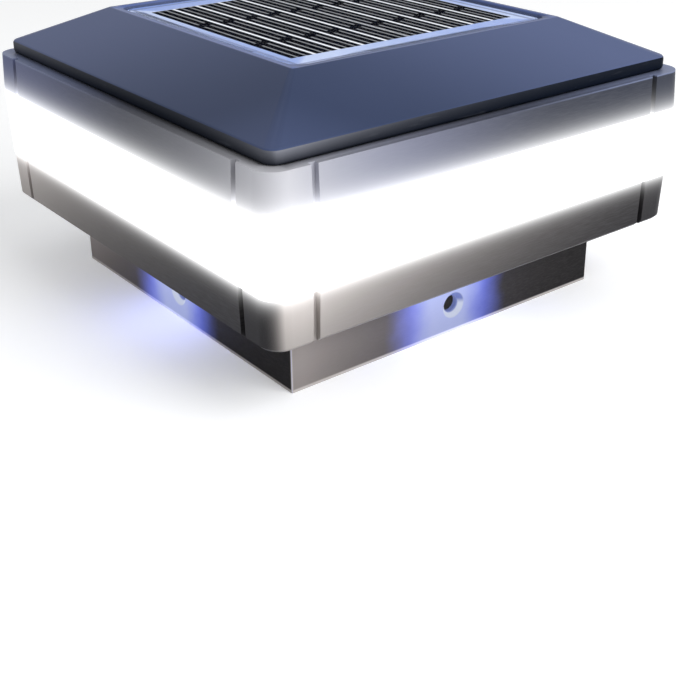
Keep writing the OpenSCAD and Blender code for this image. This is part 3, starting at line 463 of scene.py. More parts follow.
def lit_rail(name, colours, sizes, streak, metallic, roughness):
    """Satin metal of the rails, with painted light: a sheen along each side, a highlight on the
    ledge, and the ring's light painted on them beside it.
    """
    look = Finish(name, metallic=metallic, specular_ior_level=0.04, emission_strength=1.0)
    above = look.z.over(GLOW_MIDDLE)
    fine = look.noise(0.10 * MM, 3.0, streak)
    drift = look.noise(26 * MM)
    side = look.across(4 * MM)
    # Painted light on the upper rail: paler towards the left of each side, and a painted
    # highlight near the front left and back right corners
    upper = look.mix(side.rise(20 * MM, -60 * MM), colours.upper_dark, colours.upper_far)
    upper = look.mix(look.cornerwise().halves(6 * MM, 16 * MM), upper, colours.upper_pale)
    # Painted sheen on the lower rail, paler towards the left of each side, and painted shade,
    # darker towards its foot; inside the collar a plain tone
    low = look.z.rise(GLOW_FOOT, FOOT_Z - 1 * MM)
    outer = look.away().rise(COLLAR_HALF, COLLAR_HALF + 6 * MM)
    sheen = outer * side.halves(-54 * MM, 26 * MM) + (1 - outer) * 0.16
    lower = look.mix(sheen, colours.lower_dark, colours.lower_pale)
    lower = look.mix(low * 0.35, lower, colours.lower_dark)
    tone = look.mix(above, lower, upper)
    # Painted highlight along the ledge's edge, fading out towards the front left and back right
    # corners
    edge = look.z.rise(LEDGE_Z - sizes.edge_shine, LEDGE_Z - 0.1 * MM)
    tone = look.mix(edge * look.cornerwise().rise(50 * MM, 120 * MM), tone, colours.ledge_highlight)
    tone = look.mix((fine - 0.4) * 0.12, tone, "#D4D6DC")
    look.set("Base Color", tone)
    look.set("Roughness", roughness + (fine - 0.5) * 0.08 + (drift - 0.5) * 0.06)
    # Painted glow: the ring's light painted onto the rails beside it, as emission
    apart = (look.z - GLOW_TOP).larger(GLOW_FOOT - look.z)
    lit = (0.5 ** (apart / (above * (0.45 * MM) + 0.80 * MM))).smaller(1.0) * 0.90
    look.set("Emission Color", look.mix(lit, BLACK, colours.glow))
    look.bump(fine, 0.004 * MM)
    return look


def collar_moulding(colours, sizes):
    """Satin metal of the collar, with painted light and shade: a sheen along each side,
    highlights on its foot and corners, and the downlights' light as a pool on each side.
    """
    look = Finish("collar_moulding", specular_ior_level=0.06, emission_strength=1.0)
    fine = look.noise(0.25 * MM, 3.0, (5.0, 5.0, 1.0))
    drift = look.noise(24 * MM)
    # Painted sheen along each side, paler towards the left seen from outside, and painted shade,
    # darker towards the foot
    sheen = look.across(0.2 * MM).halves(-45 * MM, 20 * MM)
    sheen = sheen * (0.75 + look.z.rise(0.0, 10 * MM) * 0.25)
    tone = look.mix(sheen, colours.collar_dark, colours.collar_pale)
    # Painted highlights along the foot's edge and the upright corners
    foot = look.z.rise(0.5 * MM + sizes.edge_shine, 0.5 * MM)
    corner = (look.away() - look.along()).rise(0.5 * MM, 0.1 * MM)
    shine = foot.larger(corner) * look.away().over(COLLAR_HALF - 0.6 * MM)
    tone = look.mix(shine * (0.5 + drift * 0.4), tone, "#CFC9C6")
    look.set("Base Color", look.mix((fine - 0.4) * 0.08, tone, "#B9B6B8"))
    look.set("Roughness", 0.40 + (fine - 0.5) * 0.12 + (drift - 0.5) * 0.06)
    # Painted light of the downlights, as emission: a pool on each side, with painted light and
    # shade in the countersunk holes
    hole = (look.along() ** 2.0 + (look.z - HOLE_Z) ** 2.0) ** 0.5
    sink = hole.rise(SINK_RADIUS + 0.2 * MM, SINK_RADIUS - 0.2 * MM)
    bore = hole.rise(BORE_RADIUS + 0.15 * MM, BORE_RADIUS - 0.15 * MM)
    soft = abs(look.across(0.2 * MM) + 2 * MM) + (look.noise(7 * MM) - 0.5) * (4 * MM)
    core = soft.rise(13 * MM, 4 * MM)
    pool = soft.rise(20 * MM, 9 * MM) * (0.65 + look.z.rise(0.0, FOOT_Z) * 0.35)
    light = look.mix(core, colours.blue, colours.pool)
    # Painted shade in the upper part of each countersink and in the bore, and painted light on
    # the rest of the countersink
    shaded = sink * (look.z - HOLE_Z).rise(-0.6 * MM, 1.2 * MM)
    light = look.mix(sink, light, "#DCE6FF")
    light = look.mix(shaded.larger(bore), light, "#6E80CC")
    front = look.away().rise(COLLAR_HALF - 2.4 * MM, COLLAR_HALF - 1.2 * MM).larger(bore * 0.8)
    look.set("Emission Color", look.mix(pool * front * 0.95, BLACK, light))
    look.bump(fine, 0.006 * MM)
    return look


def frosted_glow(colours):
    """Frosted white plastic of the glowing ring, lit from inside."""
    look = Finish("frosted_glow", roughness=0.42, emission_strength=1.0)
    half = (GLOW_TOP - GLOW_FOOT) / 2
    edge = abs(look.z - GLOW_MIDDLE).rise(half * 0.80, half * 1.02)
    frost = look.noise(0.5 * MM)
    bright = look.mix(edge * 0.5, colours.glow, "#E9EEF8")
    look.set("Base Color", look.mix(frost * 0.1, "#F6F8FC", "#E6ECF6"))
    look.set("Emission Color", bright)
    look.bump(frost, 0.008 * MM)
    return look


def panel_border(colours):
    """Silvery backing: near white between the cells, and bluer along the border, with a painted
    sheen and a line of painted shade near its outer edge.
    """
    look = Finish("panel_border", roughness=0.34, specular_ior_level=0.2)
    sparkle = look.noise(0.25 * MM)
    streak = look.noise(9 * MM, 3.0, (1.0, 2.5, 1.0))
    border = abs(look.x).over(CELLS_HALF.x).larger(abs(look.y).over(CELLS_HALF.y))
    # Painted sheen on the border, paler towards the left of each side
    sheen = look.across(2 * MM).halves(-24 * MM, 22 * MM)
    tone = look.mix(sheen * 0.8 + (streak - 0.45) * 0.4, colours.border, colours.border_pale)
    tone = look.mix(border, "#F1F5FF", tone)
    # Painted shade: a darker line near the border's outer edge, where it meets the lip
    line = abs(look.away() - BORDER_LINE).rise(0.7 * MM, 0.3 * MM)
    tone = look.mix(line * 0.7, tone, "#4E5F94")
    look.set("Base Color", look.mix((sparkle - 0.45) * 0.2, tone, "#F6F9FF"))
    look.bump(sparkle, 0.004 * MM)
    return look


def silicon(colours):
    """Near-black silicon with a faint crystal pattern."""
    look = Finish("silicon", specular_ior_level=0.0)
    crystal = look.node("ShaderNodeTexVoronoi", {"feature": "F1"}, {
        "Vector": look.point, "Scale": 1 / (2.4 * MM),
    }, "Color")
    grey = look.node("ShaderNodeRGBToBW", {}, {0: crystal})
    look.set("Base Color", look.mix(grey * 0.20, colours.cell, "#141A2E"))
    look.set("Roughness", 0.30 + grey * 0.10)
    return look


def silver_line(colours):
    """Printed silver of the lines on the cells."""
    look = Finish("silver_line", specular_ior_level=0.15)
    rough = look.noise(0.2 * MM)
    look.set("Base Color", look.mix(rough * 0.4, colours.finger, "#AEB2BA"))
    look.set("Roughness", 0.35 + rough * 0.15)
    return look


def clear_sheet():
    """Clear cover over the panel, faintly blue, with a trace of dust."""
    look = Finish("clear_sheet", specular_ior_level=0.5)
    dust = look.noise(1.2 * MM, 4.0).rise(0.55, 0.80)
    look.set("Base Color", look.mix(dust, "#2A3552", "#B9BDC4"))
    look.set("Roughness", 0.04 + dust * 0.25)
    look.set("Alpha", 0.015 + dust * 0.010)
    return look


def lit_lens(colours):
    """Lens of a downlight: bright where its three lights sit above it."""
    look = Finish("lit_lens", roughness=0.12, emission_strength=5.0)
    place = look.node("ShaderNodeAttribute", {"attribute_name": "place"}, out="Fac")
    spots = 0.0
    for middle in (-LAMP_PITCH, 0.0, LAMP_PITCH):
        spots = abs(place - middle).rise(5.5 * MM, 0.5 * MM) + spots
    spots = spots.smaller(1.0)
    look.set("Base Color", look.mix(spots, "#AFC0FF", "#F0F4FF"))
    look.set("Emission Color", look.mix(spots * 0.55, colours.blue, "#F4F7FF"))
    return look


def lit_chip(name, dim, bright):
    """An LED that glows in two tones."""
    look = Finish(name, roughness=0.35, emission_strength=1.0)
    speck = look.noise(0.4 * MM)
    look.set("Base Color", look.mix(speck * 0.4, dim, bright))
    look.set("Emission Color", look.mix(speck, dim, bright))
    return look


def board_lacquer(name, ground, track):
    """Lacquered circuit board with tracks that show a shade paler."""
    look = Finish(name, coat_roughness=0.12)
    steps = look.node("ShaderNodeTexVoronoi", {"feature": "F1", "distance": "MANHATTAN"}, {
        "Vector": look.point, "Scale": 1 / (3.52 * MM),
    }, "Distance")
    lines = abs(steps * 6.0 - 2.0).rise(0.5, 0.2)
    look.set("Base Color", look.mix(lines * 0.8, ground, track))
    look.set("Roughness", 0.38 - lines * 0.08)
    look.set("Coat Weight", 0.4 + lines * 0.1)
    look.bump(lines, 0.03 * MM)
    return look


def machined(name, code, roughness):
    """Metal with fine tool marks and a few duller patches."""
    look = Finish(name, metallic=1.0)
    marks = look.noise(0.12 * MM, 2.0, (1.0, 1.0, 9.0))
    dull = look.noise(3 * MM, 3.0)
    look.set("Base Color", look.mix(dull * 0.5, code, tinted(code, 0.72)))
    look.set("Roughness", roughness + (marks - 0.5) * 0.20 + (dull - 0.5) * 0.15)
    look.bump(marks, 0.004 * MM)
    return look


def rubbery(name, code, pore=0.5 * MM, relief=0.03 * MM, roughness=0.8):
    """Rubber or foam: matt, with fine pores."""
    look = Finish(name, specular_ior_level=0.3)
    pores = look.noise(pore, 3.0)
    look.set("Base Color", look.mix(pores * 0.5, code, tinted(code, 1.5, 0.01)))
    look.set("Roughness", roughness + (pores - 0.5) * 0.15)
    look.bump(pores, relief)
    return look


def insulation(name, code):
    """Smooth insulation of a lead, with faint scuffs along it."""
    look = Finish(name, specular_ior_level=0.4)
    scuff = look.noise(1.1 * MM, 3.0)
    look.set("Base Color", look.mix(scuff * 0.3, code, tinted(code, 1.3, 0.03)))
    look.set("Roughness", 0.42 + (scuff - 0.5) * 0.2)
    look.bump(scuff, 0.01 * MM)
    return look


def make_finishes(colours, sizes):
    """One finish for each of the record's material slots, and those of this file's pieces."""
    brushed = (30.0, 30.0, 1.0)
    return {
        "lid_slate": slate_moulding(colours),
        "lid_rim": rim_moulding(colours),
        "rail_grey": lit_rail("rail_satin", colours, sizes, None, 0.30, 0.42),
        "trim_metal": lit_rail("brushed_trim", colours, sizes, brushed, 0.50, 0.36),
        "collar_grey": collar_moulding(colours, sizes),
        "diffuser": frosted_glow(colours),
        "seal": rubbery("seal_rubber", "#26272A"),
        "foam": rubbery("closed_foam", "#2E2F33", 0.8 * MM, 0.08 * MM, 0.9),
        "panel_back": panel_border(colours),
        "cells": silicon(colours),
        "finger": silver_line(colours),
        "panel_cover": clear_sheet(),
        "white_plastic": moulded("white_plastic", "#E9E9E4", 0.45),
        "led_strip": board_lacquer("strip_lacquer", "#E9E7DE", "#D9D2BE"),
        "white_led": lit_chip("white_chip", "#FFE9B0", "#FFFFFF"),
        "downlight_lens": lit_lens(colours),
        "circuit_board": board_lacquer("board_lacquer", "#174A2C", "#2F7A48"),
        "blue_led": lit_chip("blue_chip", "#3F5BFF", "#A9BCFF"),
        "chip_black": moulded("chip_moulding", "#1B1C1F", 0.5),
        "ferrite": rubbery("ferrite", "#3A3532", 0.4 * MM, 0.02 * MM, 0.7),
        "capacitor_sleeve": moulded("sleeve_blue", "#20345E", 0.3),
        "terminal_green": moulded("terminal_moulding", "#2C7A47", 0.35),
        "switch_shell": machined("tinned_shell", "#CFD1D4", 0.32),
        "cell_can": machined("nickel_can", "#D5D7DA", 0.22),
        "cell_sleeve": moulded("sleeve_green", "#2C7550", 0.28),
        "contact_metal": machined("contact_metal", "#D9C48C", 0.30),
        "door_grey": moulded("door_moulding", "#4B4C50", 0.45),
        "brass": machined("turned_brass", "#C9A456", 0.28),
        "steel": machined("zinc_steel", "#C6C9CE", 0.30),
        "lead_red": insulation("red_insulation", "#B3261E"),
        "lead_black": insulation("black_insulation", "#1B1B1C"),
        "lead_white": insulation("white_insulation", "#DCDCD6"),
        "lead_blue": insulation("blue_insulation", "#2F55C4"),
    }


# The materials by slot, which the first of the operators for pieces fills in
finishes = {}


# ---------- meshes ----------


def add_object(name, data):
    made = bpy.data.objects.new(name, data)
    bpy.context.scene.collection.objects.link(made)
    return made


def settle(piece, body, slot_name, *nodes, material=True):
    """Gives a finished piece the finish of its slot unless told not to, sets it on its body and
    hides the nodes that it stands for.
    """
    if material:
        piece.data.materials.clear()
        piece.data.materials.append(finishes[slot_name])
    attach(piece, body)
    if nodes:
        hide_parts(*nodes)


def shade(mesh, sharp=35.0):
    """Smooth faces, with the edges left sharp that turn by more than that many degrees."""
    for face in mesh.polygons:
        face.use_smooth = True
    mesh.set_sharp_from_angle(angle=math.radians(sharp))


def mesh_of(name, work, split=True):
    """A new mesh of the worked faces. Those with more than four corners may be split."""
    if split:
        bmesh.ops.triangulate(work, faces=[f for f in work.faces if len(f.verts) > 4])
    mesh = bpy.data.meshes.new(name)
    work.to_mesh(mesh)
    work.free()
    return mesh


def rounded_copy(name, nodes, rounding, picked=None, segments=2):
    """A merged copy of CAD nodes, with those edges rounded that are sharp and picked."""
    work = bmesh.new()
    for node in nodes:
        work.from_mesh(frame["nodes"][node].data)
    bmesh.ops.remove_doubles(work, verts=work.verts, dist=0.001 * MM)
    bmesh.ops.dissolve_limit(
        work, angle_limit=math.radians(0.3), verts=work.verts, edges=work.edges)
    least_turn = math.radians(30.0)
    edges = [
        edge for edge in work.edges
        if edge.is_manifold and edge.calc_face_angle_signed() > least_turn
        and (picked is None or all(picked(v.co) for v in edge.verts))
    ]
    bmesh.ops.bevel(
        work, geom=edges, offset=rounding, offset_type="OFFSET", segments=segments,
        profile=0.5, affect="EDGES", clamp_overlap=True, harden_normals=False)
    bmesh.ops.dissolve_degenerate(work, edges=work.edges, dist=0.0005 * MM)
    mesh = mesh_of(name, work)
    shade(mesh)
    piece = add_object(name, mesh)
    # Flat faces stay flat beside their rounded edges
    modifier = piece.modifiers.new("even_normals", "WEIGHTED_NORMAL")
    modifier.keep_sharp = True
    modifier.weight = 60
    return piece


def skinned(name, *solids, split=False):
    """A closed mesh of one or more solids, each given by its rings of points in order.

    An end ring of one point is a tip, and any other end ring gets a face.
    """
    work = bmesh.new()
    for points in solids:
        rings = [[work.verts.new(point) for point in ring] for ring in points]
        for first, second in zip(rings, rings[1:]):
            for k in range(max(len(first), len(second))):
                corners = [first[i % len(first)] for i in (k, k + 1)]
                corners += [second[i % len(second)] for i in (k + 1, k)]
                work.faces.new(list(dict.fromkeys(corners)))
        for ring in (rings[0], rings[-1]):
            if len(ring) > 1:
                work.faces.new(ring)
    bmesh.ops.recalc_face_normals(work, faces=work.faces)
    return mesh_of(name, work, split)


def half_round_rib(height, half_length):
    """A rib with a half-round section and round ends, which hangs below z = 0 along Y."""
    around, along = 8, 4
    rings = []
    for k in range(-along, along + 1):
        place = k / along
        scale = math.sqrt(1 - place ** 6) if abs(k) < along else 0.25
        rings.append([
            (height * scale * math.cos(math.pi * i / around), half_length * place,
             -height * scale * math.sin(math.pi * i / around))
            for i in range(around + 1)
        ])
    mesh = skinned("rib", rings)
    shade(mesh, 50.0)
    return mesh


def cross_recess(reach, width, depth, sink):
    """A tapered cross that cuts the recess of a cross-head screw, upwards from below z = 0."""
    arm = [(width, width), (width, reach), (-width, reach)]
    outline = []
    for _ in range(4):
        outline += arm
        arm = [(-y, x) for x, y in arm]
    return skinned("recess", [
        [(x * scale, y * scale, z) for x, y in outline]
        for z, scale in ((-sink, 1.05), (depth, 0.45))
    ])


def evaluated_mesh(piece):
    """The mesh of an object with its modifiers applied."""
    graph = bpy.context.evaluated_depsgraph_get()
    return bpy.data.meshes.new_from_object(piece.evaluated_get(graph), depsgraph=graph)


def screw(head_r, head_height, shank_r, total, countersunk=False):
    """A cross-head screw that points up from z = 0, with a blunt tip."""
    if countersunk:
        head = [(0.0, 0.0), (0.96, 0.0), (1.0, 0.1)]
    else:
        head = [(0.0, 0.0), (0.55, 0.03), (0.84, 0.17), (0.97, 0.42), (1.0, 0.66), (0.97, 1.0)]
    profile = [(head_r * out, head_height * up) for out, up in head]
    profile += [
        (shank_r, head_height), (shank_r, total - shank_r * 0.5), (shank_r * 0.6, total),
        (0.0, total),
    ]
    sides = 32
    body = add_object("screw_body", skinned("screw", [
        [(radius * math.cos(math.tau * k / sides), radius * math.sin(math.tau * k / sides), z)
         for k in range(sides if radius else 1)]
        for radius, z in profile
    ]))
    cutter = add_object(
        "screw_recess", cross_recess(head_r * 0.56, head_r * 0.13, head_height * 0.62, 0.3 * MM))
    cut = body.modifiers.new("recess", "BOOLEAN")
    cut.object = cutter
    cut.operation = "DIFFERENCE"
    cut.solver = "EXACT"
    mesh = evaluated_mesh(body)
    for spent in (body, cutter):
        bpy.data.objects.remove(spent)
    shade(mesh, 28.0)
    return mesh


def grown(name, tree, mesh, sizes=None, **inputs):
    """A plain mesh object, made by a geometry tree from a start mesh and named inputs.

    An input that isn't given takes the size of the same name.
    """
    piece = add_object(name, mesh or bpy.data.meshes.new(name))
    modifier = piece.modifiers.new("grow", "NODES")
    modifier.node_group = tree
    for item in tree.interface.items_tree:
        key = item.name.lower().replace(" ", "_")
        value = inputs.get(key, getattr(sizes, key, None))
        if item.in_out == "INPUT" and value is not None:
            modifier[item.identifier] = value
    result = evaluated_mesh(piece)
    piece.modifiers.remove(modifier)
    piece.data = result
    result.name = name
    return piece


# ---------- geometry trees ----------


def ring_tree():
    """Sweeps the start mesh round a square with round corners.

    The start mesh is a closed outline whose X points outwards and whose Y points down.
    """
    make = Maker("swept_ring", {
        "Float": ["Half", "Ring Corner", "Ring Rounding"],
        "Int": ["Corner Steps", "Rounding Steps"], "Material": ["Finish"],
    })
    outline = make.node("GeometryNodeMeshToCurve", {}, {"Mesh": make["Geometry"]})
    outline = make.node("GeometryNodeFilletCurve", {"mode": "POLY"}, {
        "Curve": outline, "Count": make["Rounding Steps"], "Radius": make["Ring Rounding"],
        "Limit Radius": True,
    })
    square = make.node("GeometryNodeCurvePrimitiveQuadrilateral", {"mode": "RECTANGLE"}, {
        "Width": make["Half"] * 2.0, "Height": make["Half"] * 2.0,
    })
    square = make.node("GeometryNodeFilletCurve", {"mode": "POLY"}, {
        "Curve": square, "Count": make["Corner Steps"], "Radius": make["Ring Corner"],
    })
    square = make.node("GeometryNodeSetCurveNormal", {"mode": "Z_UP"}, {"Curve": square})
    swept = make.node("GeometryNodeCurveToMesh", {}, {"Curve": square, "Profile Curve": outline})
    return make.end(swept, make["Finish"])


def round_tree():
    """Sets four copies of the start mesh round the upright axis."""
    make = Maker("four_round", {
        "Float": ["Distance", "First Angle", "Height", "Free Turn"],
        "Int": ["Seed"], "Material": ["Finish"],
    })
    ring = make.node(
        "GeometryNodeMeshCircle", {"fill_type": "NONE"},
        {"Vertices": 4, "Radius": make["Distance"]})
    ring = make.node("GeometryNodeTransform", {}, {
        "Geometry": ring, "Translation": make.join_xyz(z=make["Height"]),
        "Rotation": make.join_xyz(z=make["First Angle"]),
    })
    stray = make.node("FunctionNodeRandomValue", {"data_type": "FLOAT"}, {
        "Min": 0.0, "Max": make["Free Turn"], "Seed": make["Seed"],
    }, out="Value")
    turn = make.node("GeometryNodeInputIndex") * QUARTER + make["First Angle"] + QUARTER + stray
    copies = make.node("GeometryNodeInstanceOnPoints", {}, {
        "Points": ring, "Instance": make["Geometry"], "Rotation": make.join_xyz(z=turn),
    })
    return make.end(copies, make["Finish"])


def row_tree():
    """Sets copies of the start mesh in a row along X."""
    make = Maker("row", {"Int": ["Count"], "Float": ["Pitch"], "Material": ["Finish"]})
    return make.end(
        make.in_row(make["Geometry"], make["Count"], make["Pitch"]), make["Finish"])


def cell_tree():
    """Cell strips side by side, each with two silver lines that are broken twice."""
    make = Maker("cell_strips", {
        "Int": ["Strip Count"],
        "Float": [
            "Strip Pitch", "Strip Width", "Length", "Thickness", "Top", "Finger Width",
            "Finger Height", "Finger Spacing", "Near Notch", "Far Notch", "Notch Length",
            "Notch Stagger",
        ],
        "Material": ["Cell Finish", "Finger Finish"],
    })
    body_height = make["Thickness"] - make["Finger Height"]
    slab_z = make["Top"] - make["Finger Height"] - body_height * 0.5
    slab = make.box(
        make.join_xyz(make["Strip Width"], make["Length"], body_height),
        make.join_xyz(z=slab_z))
    finger_z = make["Top"] - make["Finger Height"] * 0.5
    half_notch = make["Notch Length"] * 0.5
    fingers = []
    for side in (-0.5, 0.5):
        ends = [make["Length"] * -0.5]
        for notch in ("Near Notch", "Far Notch"):
            middle = make[notch] + make["Notch Stagger"] * side
            ends += [middle - half_notch, middle + half_notch]
        ends.append(make["Length"] * 0.5)
        for low, high in zip(ends[::2], ends[1::2]):
            fingers.append(make.box(
                make.join_xyz(make["Finger Width"], high - low, make["Finger Height"]),
                make.join_xyz(make["Finger Spacing"] * side, (low + high) * 0.5, finger_z),
            ))
    fingers = make.node("GeometryNodeJoinGeometry", {}, {0: fingers})
    strip = make.node("GeometryNodeJoinGeometry", {}, {0: [
        make.painted(slab, make["Cell Finish"]), make.painted(fingers, make["Finger Finish"]),
    ]})
    return make.end(make.in_row(strip, make["Strip Count"], make["Strip Pitch"]))


# ---------- operators ----------


class PieceMaker:
    """What the operators share."""

    bl_options = {"REGISTER", "UNDO"}

    def execute(self, context):
        self.make(context.scene, context.scene.cap_light_sizes)
        return {"FINISHED"}


class CAPLIGHT_OT_finishes(PieceMaker, bpy.types.Operator):
    """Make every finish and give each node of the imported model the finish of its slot"""

    bl_idname = "caplight.make_finishes"
    bl_label = "Finishes"

    def make(self, scene, sizes):
        looks = make_finishes(scene.cap_light_colours, sizes)
        finishes.update({slot_name: look.material for slot_name, look in looks.items()})
        for name, node in frame["nodes"].items():
            node.data.materials.clear()
            node.data.materials.append(finishes[SLOTS[name]])

class CAPLIGHT_OT_lid(PieceMaker, bpy.types.Operator):
    """Make the lid with a rounded rim and softened hips"""

    bl_idname = "caplight.make_lid"
    bl_label = "Lid"

    def make(self, scene, sizes):
        rim_z = LEDGE_Z + sizes.rim_height
        lid = rounded_copy(
            "lid_shell", ["lid"], sizes.rim_rounding, lambda co: abs(co.z - rim_z) < 0.05 * MM, 4)
        settle(lid, "housing", "lid_slate", "lid")
        lid.data.materials.append(finishes["lid_rim"])
        for face in lid.data.polygons:
            face.material_index = int(face.center.z < rim_z - 0.2 * MM)


class CAPLIGHT_OT_rails(PieceMaker, bpy.types.Operator):
    """Make the two rails with softened outer edges"""

    bl_idname = "caplight.make_rails"
    bl_label = "Rails"

    def make(self, scene, sizes):
        least = WIDE_HALF - 2.6 * MM
        for name, node in (("upper_rail", "upper_frame"), ("lower_rail", "base_tray")):
            rail = rounded_copy(
                name, [node], sizes.shell_rounding, lambda co: max(abs(co.x), abs(co.y)) > least)
            settle(rail, "housing", "rail_grey", node)


class CAPLIGHT_OT_trims(PieceMaker, bpy.types.Operator):
    """Make the brushed side trims of both rails"""

    bl_idname = "caplight.make_trims"
    bl_label = "Side trims"

    def make(self, scene, sizes):
        for level in ("upper", "lower"):
            nodes = [f"{level}_trim_{side}" for side in SIDES]
            trims = rounded_copy(f"{level}_side_trims", nodes, sizes.trim_rounding)
            settle(trims, "housing", "trim_metal", *nodes)


class CAPLIGHT_OT_collar(PieceMaker, bpy.types.Operator):
    """Make the collar with a softened foot"""

    bl_idname = "caplight.make_collar"
    bl_label = "Collar"

    def make(self, scene, sizes):
        collar = rounded_copy(
            "collar_shell", ["collar"], sizes.shell_rounding, lambda co: co.z < 0.05 * MM, 3)
        settle(collar, "housing", "collar_grey", "collar")


class CAPLIGHT_OT_glow(PieceMaker, bpy.types.Operator):
    """Make the glowing ring by sweeping its outline round the body"""

    bl_idname = "caplight.make_glow"
    bl_label = "Glowing ring"

    def make(self, scene, sizes):
        low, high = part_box("diffuser_band")
        reach = sizes.ring_corner - 0.2 * MM
        tongue = reach - 0.9 * MM
        inner_top = GLOW_TOP - sizes.ring_flange
        inner_foot = GLOW_FOOT + sizes.ring_flange
        outline = [
            (sizes.ring_draw, GLOW_FOOT), (0.0, GLOW_TOP), (tongue, GLOW_TOP), (tongue, high.z),
            (reach, high.z), (reach, inner_top), (sizes.ring_wall, inner_top),
            (sizes.ring_wall, inner_foot), (reach, inner_foot), (reach, low.z), (tongue, low.z),
            (tongue, GLOW_FOOT),
        ]
        count = len(outline)
        mesh = bpy.data.meshes.new("ring_outline")
        mesh.from_pydata(
            [(-inward, -height, 0.0) for inward, height in outline],
            [(k, (k + 1) % count) for k in range(count)], [])
        ring = grown(
            "glow_ring", ring_tree(), mesh, sizes, half=WIDE_HALF, corner_steps=12,
            rounding_steps=3, finish=finishes["diffuser"])
        work = bmesh.new()
        work.from_mesh(ring.data)
        bmesh.ops.remove_doubles(work, verts=work.verts, dist=0.001 * MM)
        bmesh.ops.recalc_face_normals(work, faces=work.faces)
        work.to_mesh(ring.data)
        work.free()
        shade(ring.data)
        settle(ring, "housing", "diffuser", "diffuser_band")


class CAPLIGHT_OT_panel(PieceMaker, bpy.types.Operator):
    """Make the cell strips with their silver lines, and the clear cover over them"""

    bl_idname = "caplight.make_panel"
    bl_label = "Solar panel"

    def make(self, scene, sizes):
        low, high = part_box("solar_cells")
        cells = grown(
            "cell_strips", cell_tree(), None, sizes, length=high.y - low.y,
            thickness=high.z - low.z, top=high.z, cell_finish=finishes["cells"],
            finger_finish=finishes["finger"])
        settle(cells, "housing", "cells", "solar_cells", material=False)
        cover = rounded_copy("clear_cover", ["panel_cover"], sizes.cover_rounding)
        settle(cover, "housing", "panel_cover", "panel_cover")


class CAPLIGHT_OT_screws(PieceMaker, bpy.types.Operator):
    """Make the cross-head screws under the body"""

    bl_idname = "caplight.make_screws"
    bl_label = "Screws"

    def make(self, scene, sizes):
        tree = round_tree()
        # Piece, node, radius and height of the head, radius of the shank, countersunk
        sets = (
            ("case_screw_set", "case_screws", 2.85 * MM, 1.7 * MM, 1.5 * MM, False),
            ("collar_screw_set", "collar_screws", 2.3 * MM, 1.05 * MM, 1.25 * MM, True),
        )
        for seed, (name, node, head_r, head_height, shank_r, countersunk) in enumerate(sets):
            low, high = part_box(node)
            mesh = screw(head_r, head_height, shank_r, high.z - low.z, countersunk)
            screws = grown(
                name, tree, mesh, distance=(high.x - head_r) * math.sqrt(2),
                first_angle=QUARTER / 2, height=low.z, free_turn=QUARTER, seed=seed,
                finish=finishes["steel"])
            settle(screws, "housing", "steel", node)
        low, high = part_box("door_screw")
        mesh = screw(2.4 * MM, 1.4 * MM, 1.2 * MM, high.z - low.z)
        middle = (low + high) / 2
        mesh.transform(Matrix.Translation((middle.x, middle.y, low.z)))
        settle(add_object("door_screw_turned", mesh), "battery_door", "steel", "door_screw")


class CAPLIGHT_OT_downlights(PieceMaker, bpy.types.Operator):
    """Make the four fluted lenses of the downlights"""

    bl_idname = "caplight.make_downlights"
    bl_label = "Downlights"

    def make(self, scene, sizes):
        low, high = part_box("downlight_lens_front")
        margin = 0.7 * MM
        flange = 1.2 * MM
        flutes, steps = 13, 6
        half, wide, top = high.x, (high.y - low.y) / 2, high.z - low.z
        window = half - margin
        fluted = [
            (window * (2 * k / (flutes * steps) - 1),
             sizes.flute_depth * (1 - abs(math.sin(math.pi * k / steps))))
            for k in range(flutes * steps + 1)
        ]
        foot = top - flange
        outlines = (
            ([*fluted, (window, foot), (-window, foot)], wide - margin),
            ([(-half, foot), (half, foot), (half, top), (-half, top)], wide),
        )
        mesh = skinned("lens", *(
            [[(x, y, z) for x, z in outline] for y in (-reach, reach)]
            for outline, reach in outlines
        ), split=True)
        place = mesh.attributes.new("place", "FLOAT", "POINT")
        place.data.foreach_set("value", [v.co.x for v in mesh.vertices])
        shade(mesh)
        lenses = grown(
            "downlight_lenses", round_tree(), mesh, distance=-(low.y + high.y) / 2,
            first_angle=0.0, height=low.z, free_turn=0.0, seed=0,
            finish=finishes["downlight_lens"])
        settle(
            lenses, "housing", "downlight_lens", *(f"downlight_lens_{side}" for side in SIDES))


class CAPLIGHT_OT_door(PieceMaker, bpy.types.Operator):
    """Make the battery door with its grip, and the mode switch's ridged knob"""

    bl_idname = "caplight.make_door"
    bl_label = "Battery door and switch"

    def make(self, scene, sizes):
        low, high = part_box("battery_door")
        self.make_moving(
            "battery_door", "door_shell", "door_grip", "door_grey", sizes.door_rounding,
            half_round_rib(sizes.grip_height, (high.y - low.y) * 0.3), 7, 1.6 * MM,
            (low.x + 11 * MM, -0.5 * MM, low.z))
        low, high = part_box("switch_slider")
        middle = (low + high) / 2
        self.make_moving(
            "switch_slider", "switch_knob", "knob_ridges", "chip_black", sizes.knob_rounding,
            half_round_rib(0.22 * MM, 1.0 * MM), 4, 0.65 * MM, (middle.x, middle.y, low.z))

    def make_moving(self, body, shell_name, ribs_name, slot_name, rounding, rib, count, pitch,
                    place):
        """Makes the shell of a body that moves, and a row of ribs below it at that place."""
        settle(rounded_copy(shell_name, [body], rounding), body, slot_name, body)
        ribs = grown(
            ribs_name, row_tree(), rib, count=count, pitch=pitch, finish=finishes[slot_name])
        ribs.data.transform(Matrix.Translation(place))
        settle(ribs, body, slot_name)


